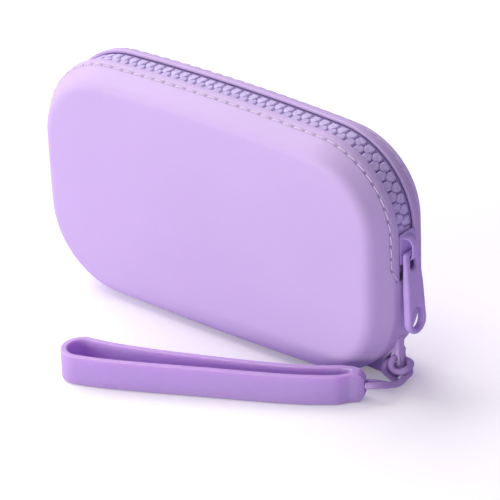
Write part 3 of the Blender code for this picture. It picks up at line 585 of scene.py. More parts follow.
def zip_frames(distance, pouch, chain):
    """Places and directions (out of the bag, along the zip) on the zip's middle line."""
    upper, _ = outline_arcs(pouch.length)
    x, z, radius, angle = place_on(upper, distance, zip_inset(pouch, chain))
    level = np.zeros_like(angle)
    out = np.stack([np.cos(angle), level, np.sin(angle)], -1)
    along = np.stack([-np.sin(angle), level, np.cos(angle)], -1)
    return np.stack([x, level, z], -1) + out * radius[:, None], out, along


def onto_zip(points, distances, pouch, chain):
    """Copies of points (out, across, along), one set at each of the distances along the zip."""
    spot, out, along = (part[:, None] for part in zip_frames(np.array(distances), pouch, chain))
    return spot + points[:, :1] * out + points[:, 1:2] * ACROSS + points[:, 2:] * along


def tooth_places(pouch, chain):
    """Where the teeth begin along the zip, and how many pitches fit before the open end's stop."""
    start = chain.slider_place + FIRST_TOOTH
    end = zip_length(pouch, chain) - chain.slider_place / 2
    return start, int((end - start) / chain.pitch - 0.5)


def swept_tube(path, radius, sides):
    """Tube round a path: at each station a circle of the radius, in a frame that is turned from
    the last one only as far as the path bends. A point 0.4 radii further on closes each end."""
    heading = headings(path)
    side = np.zeros_like(path)
    carried = np.cross(heading[0], [0.0, 0.0, 1.0])
    for station, ahead in enumerate(heading):
        carried = carried - ahead * (carried @ ahead)
        carried /= np.linalg.norm(carried)
        side[station] = carried
    cosine, sine = circle(turns(sides)).T[..., None]
    ring = side[:, None] * cosine + np.cross(heading, side)[:, None] * sine
    tips = path[[0, -1]] + heading[[0, -1]] * [[-radius * 0.4], [radius * 0.4]]
    run = run_along(path)
    chart = table(run[:, None], turns(sides) * radius).reshape(-1, 2)
    points = np.vstack([(path[:, None] + ring * radius).reshape(-1, 3), tips])
    return points, tube_faces(len(path), sides), np.vstack([chart, [[0, 0], [run[-1], 0]]])


def smooth_run(points, step):
    """Points about a step apart on a smooth curve through the given ones: on each span a cubic
    whose slopes at its ends are half the way between their neighbours."""
    padded = np.vstack([2 * points[0] - points[1], points, 2 * points[-1] - points[-2]])
    before, start, end, after = (padded[i : len(padded) - 3 + i, None] for i in range(4))
    count = int(np.ceil(np.linalg.norm(end - start, axis=-1).max() / step))
    t = np.linspace(0, 1, count, endpoint=False)[:, None]
    bend = (2 * before - 5 * start + 4 * end - after) * t**2
    twist = (3 * (start - end) + after - before) * t**3
    run = start + ((end - before) * t + bend + twist) / 2
    return np.vstack([run.reshape(-1, 3), points[-1:]])


def wall_section(slot_half_width, samples):
    """Depths and insets of one half's outside, from the rim to where the face begins.

    It is the rim's short slope, the wall's longer one and a quadratic curve into the face, all
    averaged over a millimetre, so that the slopes run into each other.
    """
    slope = (WALL_INSET - LIP_INSET) / (WALL_DEPTH - LIP_DEPTH)
    middle = WALL_INSET + slope * (EDGE_DEPTH - WALL_DEPTH)
    share = np.linspace(0, 1, 24)[1:]
    left = (1 - share) ** 2
    curve = left * WALL_INSET + 2 * share * (1 - share) * middle + share**2 * EDGE_INSET
    drop = left * WALL_DEPTH + (1 - left) * EDGE_DEPTH
    depth = np.concatenate([[slot_half_width, LIP_DEPTH, WALL_DEPTH], drop])
    inset = np.concatenate([[0, LIP_INSET, WALL_INSET], curve])
    run = run_along(np.stack([depth, inset], -1))
    half_window = 0.0005
    sampled = np.linspace(0, run[-1], samples)[:, None] + np.linspace(-half_window, half_window, 21)
    sampled = np.clip(sampled, 0, run[-1])
    depth, inset = (np.interp(sampled, run, part).mean(axis=1) for part in (depth, inset))
    depth[0], inset[0] = slot_half_width, 0
    return depth, inset


def flattened(points):
    """Heights eased up onto the foot by a parabola, as soft silicone stands under its weight."""
    z = points[:, 2]
    eased = (z + FOOT_BLEND) ** 2 / (4 * FOOT_BLEND)
    level = np.where(z < -FOOT_BLEND, 0, np.where(z > FOOT_BLEND, z, eased))
    return np.column_stack([points[:, :2], level])


def stitch_rhythm(whole, stitch):
    """Place of the first stitch along the outline, the spacing and the number of stitches."""
    first = 0.0024
    count = int((whole - 2 * first) / stitch.spacing)
    return first, (whole - 2 * first) / (count - 1), count


def seam_line(run, whole, pouch, stitch):
    """Depth of the seam along the outline, drawn in to the rim by a power of the distance in the
    last 5 mm towards both ends of the slot."""
    start, stretch, least, power = -0.0002, 0.0052, 0.25, 0.6
    share = np.clip((np.minimum(run, whole - run) - start) / stretch, least, 1)
    return pouch.slot_half_width + stitch.from_rim * share**power


def crowned_face(edge, rings):
    """Rings drawn in from a face's edge to its middle along a parabola, and that middle."""
    middle = np.array([0, -EDGE_DEPTH - CROWN, (edge[:, 2].max() + edge[:, 2].min()) / 2])
    share = np.linspace(1, 0, rings + 2)[1:-1, None, None]
    face = middle + (edge - middle) * share
    face[..., 1] = -EDGE_DEPTH - CROWN * (1 - share[..., 0] ** 2)
    return face, middle


def seam_chart(run, whole, depth, rows, pouch, stitch):
    """Way along the outline and distance off the seam, for the rows of a half and its middle.

    The distance is one metre where there is no seam.
    """
    chart = np.ones((rows + 1, len(run), 2))
    chart[..., 0] = run
    line = seam_line(np.minimum(run, whole), whole, pouch, stitch)
    chart[: len(depth), :, 1] = np.where(run > whole, 1.0, depth[:, None] - line)
    return chart.reshape(-1, 2)[: rows * len(run) + 1]


def thicken(piece, pouch, shares, around, on_top, mirrored):
    """Give the skin its wall by modifiers.

    Over the top a row with the share nought is as thick as the lip, one with the share one is as
    thick as the wall, and between them the thickness runs in a straight line, on both halves.
    """
    lip = piece.vertex_groups.new(name="share of the wall")
    lip.add(range(len(piece.data.vertices)), 1, "REPLACE")
    for row, share in enumerate(pouch.lip / pouch.wall * (1 - shares) + shares):
        near = (np.arange(on_top) + row * around).tolist()
        lip.add(near + [index + mirrored for index in near], float(share), "REPLACE")
    thick = piece.modifiers.new("Wall", "SOLIDIFY")
    thick.thickness, thick.offset, thick.use_even_offset = pouch.wall, -1, True
    thick.vertex_group = lip.name
    soft = piece.modifiers.new("Rim rounding", "BEVEL")
    soft.width, soft.segments, soft.limit_method = pouch.rim_rounding, 3, "ANGLE"
    soft.angle_limit = math.radians(50)


class PouchWall(Maker, bpy.types.Operator):
    """Make the pouch's outer skin and give it the wall's thickness"""

    bl_idname = "makeup_bag.pouch_wall"
    bl_label = "Pouch wall"
    needs = ("pouch", "stitch", "colours")

    def build(self, pouch, stitch, colours):
        upper, lower = outline_arcs(pouch.length)
        top_run = np.linspace(0, run_length(upper, 0), 193)
        low_run = np.linspace(0, run_length(lower, 0), 177)
        low_rows = place_on(lower, low_run, 0)
        ring = tuple(np.concatenate([a, b[1:-1]]) for a, b in zip(place_on(upper, top_run, 0), low_rows))
        around = len(ring[0])
        depth, inset = wall_section(pouch.slot_half_width, 26)
        wall = outline_points(ring, inset[:, None], -depth[:, None])
        face, middle = crowned_face(wall[-1], 13)
        half = np.concatenate([wall, face])
        rows = len(half)
        front = np.vstack([half.reshape(-1, 3), middle])
        pole = rows * around
        side = quads(rows, around, close_columns=True)
        tip = fans(np.arange(around) + pole - around, pole)
        faces = [side, tip, (side + len(front))[:, ::-1], (tip + len(front))[:, ::-1]]
        # Round the bottom the two halves are joined by a band over the middle plane
        steps = np.linspace(1, -1, 9)[1:-1, None]
        band = outline_points(low_rows, 0 * steps, -steps * pouch.slot_half_width)
        inside = 2 * len(front) + np.arange(band[..., 0].size).reshape(len(steps), -1)
        along = (len(top_run) - 1 + np.arange(len(low_run))) % around
        lines = np.vstack([along, inside, along + len(front)])
        corners = [lines[:-1, :-1], lines[1:, :-1], lines[1:, 1:], lines[:-1, 1:]]
        faces.append(np.stack(corners, -1).reshape(-1, 4))
        points = np.vstack([front, front * [1, -1, 1], band.reshape(-1, 3)])
        whole = top_run[-1]
        run = np.concatenate([top_run, whole + low_run[1:-1]])
        chart = seam_chart(run, whole, depth, rows, pouch, stitch)
        chart = np.vstack([chart, chart, np.ones((band[..., 0].size, 2))])
        name = "soft touch silicone of the pouch"
        finish = moulded_silicone(name, colours.silicone, seam=stitch_rhythm(whole, stitch)[:2])
        piece = make_piece(
            "pouch_wall", flattened(points), faces, finish, "bag", ("bag_shell",), chart
        )
        # The wall comes to its full thickness 3 mm behind the rim
        thickening = 0.003
        shares = np.clip((depth - pouch.slot_half_width) / thickening, 0, 1)
        thicken(piece, pouch, shares, around, len(top_run), len(front))


def hole_place(length):
    """Middle of the lug's hole, and the centre of the corner's arc that it lies outside."""
    centre = outline_arcs(length)[1][3, :2]
    return centre + (BOTTOM_CORNER_RADIUS + HOLE_DISTANCE) * circle(HOLE_DIRECTION), centre


def ray_reach(origin, rays, loop):
    """Distance along each ray from the origin to the first side of a closed loop that it meets."""
    run, away = np.roll(loop, -1, axis=0) - loop, loop - origin
    cross = rays[:, :1] * run[:, 1] - rays[:, 1:] * run[:, 0]
    cross = np.where(np.abs(cross) < 1e-15, 1e-15, cross)
    reach = (away[:, 0] * run[:, 1] - away[:, 1] * run[:, 0]) / cross
    share = (away[:, 0] * rays[:, 1:] - away[:, 1] * rays[:, :1]) / cross
    met = (reach > 0) & (share >= -1e-9) & (share <= 1 + 1e-9)
    return np.where(met, reach, np.inf).min(axis=1)


def stadium_reach(along, out, radius, straight):
    """Distance from a stadium's middle to its edge, along rays given by their two shares: the
    straight side where it is met first, and else the round end's circle."""
    side = radius / np.maximum(out, 1e-9)
    round_end = along * straight + np.sqrt(np.maximum(radius**2 - (out * straight) ** 2, 0))
    return np.where(side * along <= straight, side, round_end)


class CornerLug(Maker, bpy.types.Operator):
    """Make the lug at the lower right corner, with the slot that the cord goes through"""

    bl_idname = "makeup_bag.corner_lug"
    bl_label = "Corner lug"
    needs = ("pouch", "strap", "colours")

    def build(self, pouch, strap, colours):
        hole, centre = hole_place(pouch.length)
        right = hole[0] + LUG_MARGIN
        corner = LUG_CORNER * circle(np.radians(np.linspace(-90, 0, 7)))
        corner += [right - LUG_CORNER, LUG_LOW + LUG_CORNER]
        outline = np.vstack([
            [[centre[0] + LUG_ROOT_OFFSET, LUG_ROOT_LEVEL]], corner, [[right, LUG_TOP_LEVEL]],
        ])
        # The root lies half a wall inside the pouch, along the corner's arc
        ends = np.arctan2(*(outline[[-1, 0]] - centre).T[::-1])
        root = (BOTTOM_CORNER_RADIUS - pouch.wall / 2) * circle(np.linspace(*ends, 16))
        outline = np.vstack([outline, centre + root])
        ray, out = circle(turns(120)), circle(HOLE_DIRECTION)
        outer = ray_reach(hole, ray, outline)[:, None]
        shares = np.abs(ray @ [-out[1], out[0]]), np.abs(ray @ out)
        inner = stadium_reach(*shares, strap.cord / 2 + CORD_ROOM, strap.cord / 2)[:, None]
        # The section between them is flat on both sides, with a quarter-round at each edge
        bend = np.linspace(0, math.pi / 2, 6)
        over, lift = 1 - np.cos(bend), np.sin(bend)
        edge = np.minimum(pouch.lug_rounding, (outer - inner) / 2)
        beyond, within = outer - over * edge, inner + over[::-1] * edge
        reach = np.hstack([beyond, within, inner + over * edge, outer - over[::-1] * edge])
        flat, rounding = pouch.lug_thickness / 2 - pouch.lug_rounding, pouch.lug_rounding
        level = np.concatenate([lift, lift[::-1], -lift, -lift[::-1]]) * rounding
        level += np.repeat([flat, -flat], 2 * len(bend))
        x, z = (hole[axis] + reach * ray[:, axis, None] for axis in (0, 1))
        points = table(x, level, z)
        finish = moulded_silicone("soft touch silicone of the lug", colours.silicone)
        faces = [quads(len(ray), points.shape[1], True, True)]
        make_piece("corner_lug", points, faces, finish, "bag", merge=1e-7)


class ZipTapes(Maker, bpy.types.Operator):
    """Make the two woven tapes and the corded edges that the teeth grip"""

    bl_idname = "makeup_bag.zip_tapes"
    bl_label = "Zip tapes"
    needs = ("pouch", "chain", "colours")

    def build(self, pouch, chain, colours):
        weave = woven_polyester("woven polyester tape", colours.tape, 0.34)
        cord = woven_polyester("corded tape edge", colours.bead, 0.5)
        upper, _ = outline_arcs(pouch.length)
        whole = run_length(upper, 0)
        run = np.linspace(-chain.tail, whole + chain.tail, 260)
        rows = tuple(row[:, None] for row in place_on(upper, run, 0))
        # Under the wall the tape follows its slope for four fifths of the way to the face. At its
        # edge it is raised a little, and it runs clear of the rim's inside
        under, reach, raised, clear, behind_lip = pouch.wall + FIT, 0.8, 0.0002, 0.0003, 0.0016
        fall, climb = WALL_DEPTH - LIP_DEPTH, WALL_INSET - LIP_INSET
        slope = math.atan2(climb, fall)
        top = np.array([
            (0, under),
            (chain.half_width, under - raised),
            (pouch.slot_half_width - clear, pouch.lip + raised),
            (LIP_DEPTH, LIP_INSET + behind_lip),
            (
                LIP_DEPTH + fall * reach - under * math.sin(slope),
                LIP_INSET + climb * reach + under * math.cos(slope),
            ),
        ])
        profile = np.vstack([top, (top + [0, chain.tape])[::-1]])
        count = len(profile)
        # The tape's edge lies under the teeth, and past the stops the two edges meet
        met, least, parting, apart = 0.0095, 0.00015, 0.001, 0.0008
        from_end = np.minimum(run, whole - run)
        inner = least + apart * np.clip((from_end - met) / parting, 0, 1)
        depth = np.repeat(profile[None, :, 0], len(run), axis=0)
        depth[:, 0] = depth[:, -1] = inner
        chart = table(run[:, None], run_along(profile))
        ends = np.arange(count) + [[0], [len(run) * count - count]]
        margin = 0.001
        stretch = np.linspace(margin, zip_length(pouch, chain) - margin, 420)
        spot, _, _ = zip_frames(stretch, pouch, chain)
        for name, side in (("front", -1), ("back", 1)):
            make_piece(
                f"{name}_tape_weave", outline_points(rows, profile[:, 1], side * depth),
                [quads(len(run), count, close_columns=True), ends], weave, "bag",
                (f"{name}_tape",), chart, sharp=40,
            )
            path = spot + side * (chain.half_width - chain.bead / 2) * ACROSS
            points, faces, bead_chart = swept_tube(path, chain.bead / 2, 8)
            make_piece(f"{name}_tape_bead", points, faces, cord, "bag", (), bead_chart)


def tooth_body(side, half_thickness, half_width):
    """One tooth as rings round the line across the zip, from its foot to the tip of its head.

    A ring is a rounded oblong: a circle whose sine and cosine are raised to the power 0.32. The
    body fills most of the pitch, and the narrow head stands between two heads of the other row.
    """
    across = side * np.array([3.1, 2.95, 1.7, 0.92, 0.62, 0.0, -0.45, -0.63]) / 3.1 * half_width
    along = np.array([1.15, 1.38, 1.56, 1.5, 1.05, 0.82, 0.66, 0.35]) / 1000
    thick = np.array([0.8, 0.97, 1, 1, 0.95, 0.88, 0.82, 0.4]) * half_thickness
    cosine, sine = signed_power(circle(turns(8) + math.pi / 8), 0.32).T
    grid = table(thick[:, None] * cosine, across[:, None], along[:, None] * sine)
    ends = np.outer([across[0], across[-1] - side * half_width / 60], ACROSS)
    return np.vstack([grid.reshape(-1, 3), ends]), tube_faces(len(across), 8)


class ZipTeeth(Maker, bpy.types.Operator):
    """Make the two rows of moulded teeth, which lock into each other along the zip"""

    bl_idname = "makeup_bag.zip_teeth"
    bl_label = "Zip teeth"
    needs = ("pouch", "chain", "colours")

    def build(self, pouch, chain, colours):
        finish = moulded_acetal("moulded acetal teeth", colours.teeth)
        start, count = tooth_places(pouch, chain)
        for name, side, shift in (("front", -1, 0.5), ("back", 1, 1.0)):
            body, faces = tooth_body(side, chain.tooth_thickness / 2, chain.half_width)
            points = onto_zip(body, start + (np.arange(count) + shift) * chain.pitch, pouch, chain)
            faces = repeated(faces, count, len(body))
            make_piece(
                f"{name}_tooth_row", points, faces, finish, "bag", (f"{name}_teeth",), sharp=30
            )


class EndStops(Maker, bpy.types.Operator):
    """Make the stop at the closed end of each row and the one that bridges the open end"""

    bl_idname = "makeup_bag.end_stops"
    bl_label = "End stops"
    needs = ("pouch", "chain", "colours")

    def build(self, pouch, chain, colours):
        finish = moulded_acetal("moulded acetal stops", colours.teeth)
        near = chain.slider_place - chain.slider_length / 2 - FIT - chain.stop_length / 2
        start, count = tooth_places(pouch, chain)
        far = start + (count + 1) * chain.pitch + FIT + chain.stop_length / 2
        side = chain.half_width - chain.stop_width / 2
        for name, distance, across, width in (
            ("front_end_stop", near, -side, chain.stop_width),
            ("back_end_stop", near, side, chain.stop_width),
            ("open_end_stop", far, 0, 2 * chain.half_width),
        ):
            sizes = (chain.tooth_thickness, width, chain.stop_length)
            block, faces = soft_block(sizes, across * ACROSS, 5, 5, 10, 20)
            points = onto_zip(block, [distance], pouch, chain)
            make_piece(f"{name}_block", points, faces, finish, "bag", (name,))


def arch_body(plate):
    """The arch: an oval section carried along a curve from the plate's upper end out and down
    to its lower end, broad at its feet and slim at its crown."""
    route = np.array([
        (-6, 35.5), (3, 35.5), (13, 33.5), (21, 26), (25.2, 13), (25.8, 0), (25.2, -14), (21, -27),
        (13, -34.5), (3, -36.5), (-6, -36.5),
    ]) / 10000
    path = smooth_run(np.insert(route + [plate, 0], 1, 0, axis=1), 0.00025)
    share = np.linspace(-1, 1, len(path))[:, None]
    upper = np.clip(-share, 0, 1)
    # Half width and half thickness at the crown, what both feet add and what the upper one adds
    across = 0.00125 + 0.0002 * share**4 + 0.0016 * upper**3
    thick = 0.00045 + 0.0001 * share**4 + 0.0002 * upper**2
    heading = headings(path)
    normal = np.cross(ACROSS, heading)[:, None]
    cosine, sine = circle(turns(20)).T
    grid = path[:, None] + ACROSS * (across * cosine)[..., None] + normal * (thick * sine)[..., None]
    return np.vstack([grid.reshape(-1, 3), path[[0, -1]]]), tube_faces(len(path), 20)


class ZipSlider(Maker, bpy.types.Operator):
    """Make the slider's two plates, its flanges, its wedge and the arch that holds the pull"""

    bl_idname = "makeup_bag.zip_slider"
    bl_label = "Zip slider"
    needs = ("pouch", "chain", "colours")

    def build(self, pouch, chain, colours):
        finish = lacquered_zinc("lacquered zinc slider", colours.slider)
        channel = chain.tooth_thickness / 2 + FIT
        middle = channel + chain.plate / 2
        width, length = 2 * chain.slider_half_width, chain.slider_length
        slit = chain.tape / 2 + FIT
        flange = channel - slit + FIT
        lip = chain.slider_half_width - chain.half_width - FIT
        side = chain.slider_half_width - lip / 2
        wedge, wedge_shift, flange_trim = (0.0024, 0.0052), 0.0001, 0.0012
        # Each block has its sizes, its middle, the powers of its edges, and its rows and columns
        plate = (chain.plate, width, length)
        blocks = [(plate, (out * middle, 0, 0), 9, 3.5, 14, 48) for out in (1, -1)]
        wedge_place = (0, 0, (wedge[1] - length) / 2 + wedge_shift)
        blocks.append(((2 * channel + chain.plate, *wedge), wedge_place, 3, 8, 10, 24))
        for out in (-1, 1):
            for across in (-1, 1):
                centre = (out * (slit + flange / 2), across * side, 0)
                blocks.append(((flange, lip, length - flange_trim), centre, 6, 6, 8, 16))
        bodies = [soft_block(*block) for block in blocks]
        bodies.append(arch_body(channel + chain.plate))
        faces, count = [], 0
        for points, groups in bodies:
            faces += [group + count for group in groups]
            count += len(points)
        points = onto_zip(np.vstack([body for body, _ in bodies]), [chain.slider_place], pouch, chain)
        make_piece("slider_casting", points, faces, finish, "slider", ("slider",))


def pierced_plate(station, left, right, hole, middle, half_thickness, rounding, columns):
    """Closed plate drawn station by station between a left and a right edge, with holes.

    Where a hole's half width is over nought, the plate is two ribbons beside it; elsewhere they
    meet on the middle line. Each face drops near an edge by a quarter-round, worked out from the
    distance to the nearest outline, and walls join the faces along every edge.
    """
    loops = [np.vstack([np.stack([left, station], -1), np.stack([right, station], -1)[::-1]])]
    shown = hole > 0
    edges = np.flatnonzero(np.diff(np.concatenate([[0], shown.astype(int), [0]])))
    for first, last in zip(edges[::2], edges[1::2]):
        part = slice(max(first - 1, 0), last + 1)
        low, high = (np.stack([middle[part] + way * hole[part], station[part]], -1) for way in (-1, 1))
        loops.append(np.vstack([low, high[::-1]]))
    share = (1 - np.cos(np.linspace(0, math.pi, columns))) / 2
    soft = np.minimum(rounding, half_thickness[:, None] * 0.98)
    rows, size = len(station), len(station) * columns
    points, faces = [], []
    for start, outer, inner in ((0, left, middle - hole), (2 * size, right, middle + hole)):
        across = outer[:, None] + (inner - outer)[:, None] * share
        flat = table(across, station[:, None])
        gap = np.min([outline_gap(flat.reshape(-1, 2), loop) for loop in loops], axis=0)
        height = half_thickness[:, None] - rounded_height(gap.reshape(across.shape), soft)
        points += [np.dstack([flat, way * height]).reshape(-1, 3) for way in (1, -1)]
        rim = start + np.arange(rows) * columns
        faces += [quads(rows, columns, start=start), quads(rows, columns, start=start + size)]
        faces += [strip(rim, size), strip(rim + columns - 1, size)[shown[:-1] | shown[1:]]]
    for end in (0, size - columns):
        faces += [strip(np.arange(columns) + end + start, size) for start in (0, 2 * size)]
    return np.vstack(points), faces


def oval_hole(station, low, high, half_width, power):
    """Half width of a hole at each station: an oval whose exponent makes its ends more square."""
    share = np.clip((station - (low + high) / 2) / ((high - low) / 2), -1, 1)
    return half_width * (1 - np.abs(share) ** power) ** (1 / power)


class ZipPull(Maker, bpy.types.Operator):
    """Make the pull tab with its eye at the top and its hole in the round end"""

    bl_idname = "makeup_bag.zip_pull"
    bl_label = "Zip pull"
    needs = ("pouch", "chain", "pull", "colours")

    def build(self, pouch, chain, pull, colours):
        finish = lacquered_zinc("lacquered zinc pull", colours.slider)
        top, radius, corner = pull.bar / 2, pull.end_half_width, pull.corner
        bottom = top - pull.length
        centre = bottom + radius
        # Stations crowd in the round end and in the top corners, and stop just short of the top
        low = centre - radius * np.cos(np.linspace(0, math.pi / 2, 30)[1:])
        sides = np.linspace(centre, top - corner, 80)[1:]
        crown = top - corner + corner * np.sin(np.linspace(0, math.pi / 2, 12))[1:]
        crown[-1] -= 1e-6
        station = np.concatenate([low, sides, crown])
        share = np.clip((station - centre) / (top - centre), 0, 1)
        half = radius + (pull.top_half_width - radius) * share
        end = np.sqrt(np.maximum(radius**2 - (station - centre) ** 2, 0))
        half = np.where(station < centre, end, half)
        over = np.clip((station - (top - corner)) / corner, 0, 1)
        half -= corner * (1 - np.sqrt(1 - over**2))
        eye_length, eye_half, grip_start, grip_end, grip_half = 0.0046, 0.0014, 0.0017, 0.0085, 0.0024
        eye = oval_hole(station, -top - eye_length, -top, eye_half, 4.0)
        grip = oval_hole(station, bottom + grip_start, bottom + grip_end, grip_half, 2.2)
        deep = np.clip((-top - station) / (pull.flare - top), 0, 1)
        thickness = (pull.bar + (pull.thickness - pull.bar) * deep) / 2
        flat, faces = pierced_plate(station, -half, half, eye + grip, 0 * half, thickness, pull.edge, 12)
        # The bar lies inside the arch, a gap off the plate, and the tab is tilted off the zip
        (spot,), (out,), (along,) = zip_frames(np.array([chain.slider_place]), pouch, chain)
        lift = chain.tooth_thickness / 2 + chain.plate + 2 * FIT + pull.bar / 2
        place = spot + out * lift - along * pull.bar_drop
        thick = out * math.cos(pull.tilt) + along * math.sin(pull.tilt)
        up = along * math.cos(pull.tilt) - out * math.sin(pull.tilt)
        points = place + flat @ np.array([ACROSS, up, thick])
        make_piece(
            "pull_tab", points, faces, finish, "pull", ("zip_pull",), merge=1e-6, sharp=50
        )


def strap_shape(strap):
    """Stations from the nose to the wide end, with the half width and the sideways bow there.

    The band widens in a straight line along the nose and by a power of the distance after it,
    and ends in a half circle. The bow is a flat arch of the fourth power.
    """
    end_half, neck, neck_half, nose_half, nose = 0.0065, 0.0075, 0.0039, 0.0016, 0.0042
    widening, bow_depth, opening_length = 2.3, 0.0036, 0.0012
    widest = strap.length - end_half
    station = np.concatenate([
        np.linspace(0, nose, 16), np.linspace(nose, widest, 110)[1:],
        widest + end_half * np.sin(np.linspace(0, math.pi / 2, 40))[1:],
    ])
    station[-1] -= 1e-6
    share = np.clip((station - neck) / (widest - neck), 0, 1)
    half = np.where(
        station < neck, nose_half + (neck_half - nose_half) * station / neck,
        neck_half + (end_half - neck_half) * share**widening,
    )
    past = np.clip(station - widest, 0, end_half)
    half = np.where(station > widest, np.sqrt(np.maximum(end_half**2 - past**2, 0)), half)
    bow_share = np.clip(station - nose, 0, None) / (strap.length - nose)
    bow = bow_depth * (1 - (2 * bow_share - 1) ** 4)
    bow = np.where(station > widest, np.interp(widest, station, bow), bow)
    inner_end = end_half - strap.band
    inside = np.sqrt(np.maximum(inner_end**2 - np.clip(past, 0, inner_end) ** 2, 0))
    hole = np.where(station > widest, inside * (past < inner_end), np.maximum(half - strap.band, 0))
    opening = np.clip((station - nose) / opening_length, 0, 1)
    hole = np.where(station > nose, hole * np.sqrt(1 - (1 - opening) ** 2), 0)
    return station, half, bow, hole


class WristStrap(Maker, bpy.types.Operator):
    """Make the wrist strap: the closed band on its edge and the solid nose that holds the cord"""

    bl_idname = "makeup_bag.wrist_strap"
    bl_label = "Wrist strap"
    needs = ("strap", "colours")

    def build(self, strap, colours):
        # The strap's colour is the pouch's silicone darkened by painted shade
        finish = moulded_silicone("satin silicone of the strap", colours.strap, 0.3, 0.004, 0.8, 4.0)
        station, half, bow, hole = strap_shape(strap)
        # The tip of the nose runs down by a power to 5.4 mm of height
        tip, cut, power = 0.0019, 0.00205, 1.6
        height = strap.height / 2 - cut * np.clip(1 - station / tip, 0, 1) ** power
        flat, faces = pierced_plate(station, bow - half, bow + half, hole, bow, height, strap.edge, 9)
        along, up = np.array([*circle(strap.direction), 0]), np.array([0.0, 0.0, 1.0])
        side = np.cross(up, along)
        nose_place = np.array([0.0628, -0.0158, strap.height / 2])
        points = nose_place + flat @ np.array([side, along, up])
        make_piece(
            "strap_band", points, faces, finish, "strap", ("wrist_strap",), merge=1e-6, sharp=50
        )


# Route of the cord as offsets from the middle of the lug's hole, the same as in the part's
# source, in tenths of a millimetre
CORD_ROUTE = (
    (12, -146, -10), (24, -134, -13), (30, -120, -20), (32, -100, -32), (34, -79, -44),
    (37, -60, -52), (37, -44, -53), (27, -32, -53), (14, -30, -50), (2, -32, -43),
    (-10, -36, -30), (-11, -32, -16), (-9, -20, -10), (-8, 2, -9), (-5, 20, -11),
    (7, 30, -15), (24, 31, -16), (40, 26, -15), (51, 13, -15), (56, -3, -15),
    (56, -18, -15), (49, -30, -18), (36, -34, -20), (22, -33, -20), (14, -32, -13),
    (11, -29, -1), (10, -16, 9), (9, 2, 10), (8, 22, 14), (2, 38, 12), (-10, 52, 5),
    (-16, 59, -5), (-16, 59, -20), (-8, 53, -32), (8, 40, -39), (26, 31, -42), (41, 22, -42),
    (49, 8, -42), (52, -8, -40), (55, -22, -39), (59, -36, -39), (60, -49, -40), (59, -65, -39),
    (57, -83, -34), (54, -110, -25), (50, -133, -16), (39, -154, -11), (21, -167, -10),
)


class HitchCord(Maker, bpy.types.Operator):
    """Make the cord that is hitched through the lug and held in the strap's nose"""

    bl_idname = "makeup_bag.hitch_cord"
    bl_label = "Hitch cord"
    needs = ("pouch", "strap", "colours")

    def build(self, pouch, strap, colours):
        (x, z), _ = hole_place(pouch.length)
        # The cord takes the strap's colour, which is darkened by painted shade
        finish = moulded_silicone("satin silicone of the cord", colours.strap, 0.3, 0.003)
        path = smooth_run(np.array(CORD_ROUTE) / 10000, 0.0004) + [x, 0, z]
        points, faces, chart = swept_tube(path, strap.cord / 2, 16)
        cord = make_piece("hitch_cord", points, faces, finish, None, ("hitch_loop",), chart)
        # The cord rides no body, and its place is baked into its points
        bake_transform(cord)


class SeamStitches(Maker, bpy.types.Operator):
    """Make the stitches that hold the tapes to the rims, front and back"""

    bl_idname = "makeup_bag.seam_stitches"
    bl_label = "Seam stitches"
    needs = ("pouch", "stitch", "colours")

    def build(self, pouch, stitch, colours):
        finish = twisted_thread("bonded polyester thread", colours.thread)
        upper, _ = outline_arcs(pouch.length)
        whole = run_length(upper, 0)
        first, spacing, count = stitch_rhythm(whole, stitch)
        # A stitch dives into the silicone at both ends: a flat arch of the fourth power. It leans a
        # little across the seam, by shares of its thread, and its ends are thinner
        lean, raised, dive = 0.35, 0.32, 0.75
        taper = np.array([0.55, 0.85, 1, 1, 1, 1, 1, 0.85, 0.55])
        rings, sides = len(taper), 6
        share = np.linspace(-1, 1, rings)
        run = first + spacing * np.arange(count)[:, None] + share * stitch.length / 2
        line = seam_line(run, whole, pouch, stitch) + share * stitch.thread * lean
        sunk = np.interp(line, *wall_section(pouch.slot_half_width, 60))
        sunk -= stitch.thread * (raised - dive * np.abs(share) ** 4)
        radius = stitch.thread / 2 * taper[:, None, None]
        rows = place_on(upper, run, 0)
        out = np.stack([np.cos(rows[3]), np.zeros_like(rows[3]), np.sin(rows[3])], -1)[:, :, None]
        cosine, sine = circle(turns(sides)).T[..., None]
        each = rings * sides
        ends = np.arange(sides) + [[0], [each - sides]]
        faces = repeated([quads(rings, sides, close_columns=True), ends], count, each)
        chart = table(share[:, None] * stitch.length / 2, turns(sides) * stitch.thread / 2)
        chart = np.tile(chart, (count, 1, 1, 1))
        for name, side in (("front", -1), ("back", 1)):
            path = outline_points(rows, sunk, side * line)[:, :, None]
            points = path + (out * cosine + ACROSS * sine) * radius
            make_piece(f"{name}_seam_stitches", points, faces, finish, "bag", (), chart)


def paper_sweep(base):
    """White paper under and behind the object, matt, IOR 1.45.

    The camera sees it as lit from behind as well, and the bag gets a dimmer light back from it.
    Seen from its back it is clear, so that the bag can be looked at from all round.
    """
    finish, tree, shader = blank_finish("white paper sweep", base, 0.9, 1.45)

    def joined(kind, *sources):
        return add_node(tree, kind, {}, dict(enumerate(sources))).outputs["Shader"]

    glow = add_node(tree, "ShaderNodeEmission", {"Color": (1, 1, 1, 1), "Strength": 0.19})
    lit = joined("ShaderNodeAddShader", shader.outputs["BSDF"], glow.outputs["Emission"])
    dimmed = add_node(tree, "ShaderNodeBsdfDiffuse", {"Color": linear("#D2C2EA")}).outputs["BSDF"]
    seen = add_node(tree, "ShaderNodeLightPath").outputs["Is Camera Ray"]
    paper = joined("ShaderNodeMixShader", seen, dimmed, lit)
    clear = add_node(tree, "ShaderNodeBsdfTransparent").outputs["BSDF"]
    behind = add_node(tree, "ShaderNodeNewGeometry").outputs["Backfacing"]
    sheet = joined("ShaderNodeMixShader", behind, paper, clear)
    tree.links.new(sheet, tree.nodes["Material Output"].inputs["Surface"])
    return finish


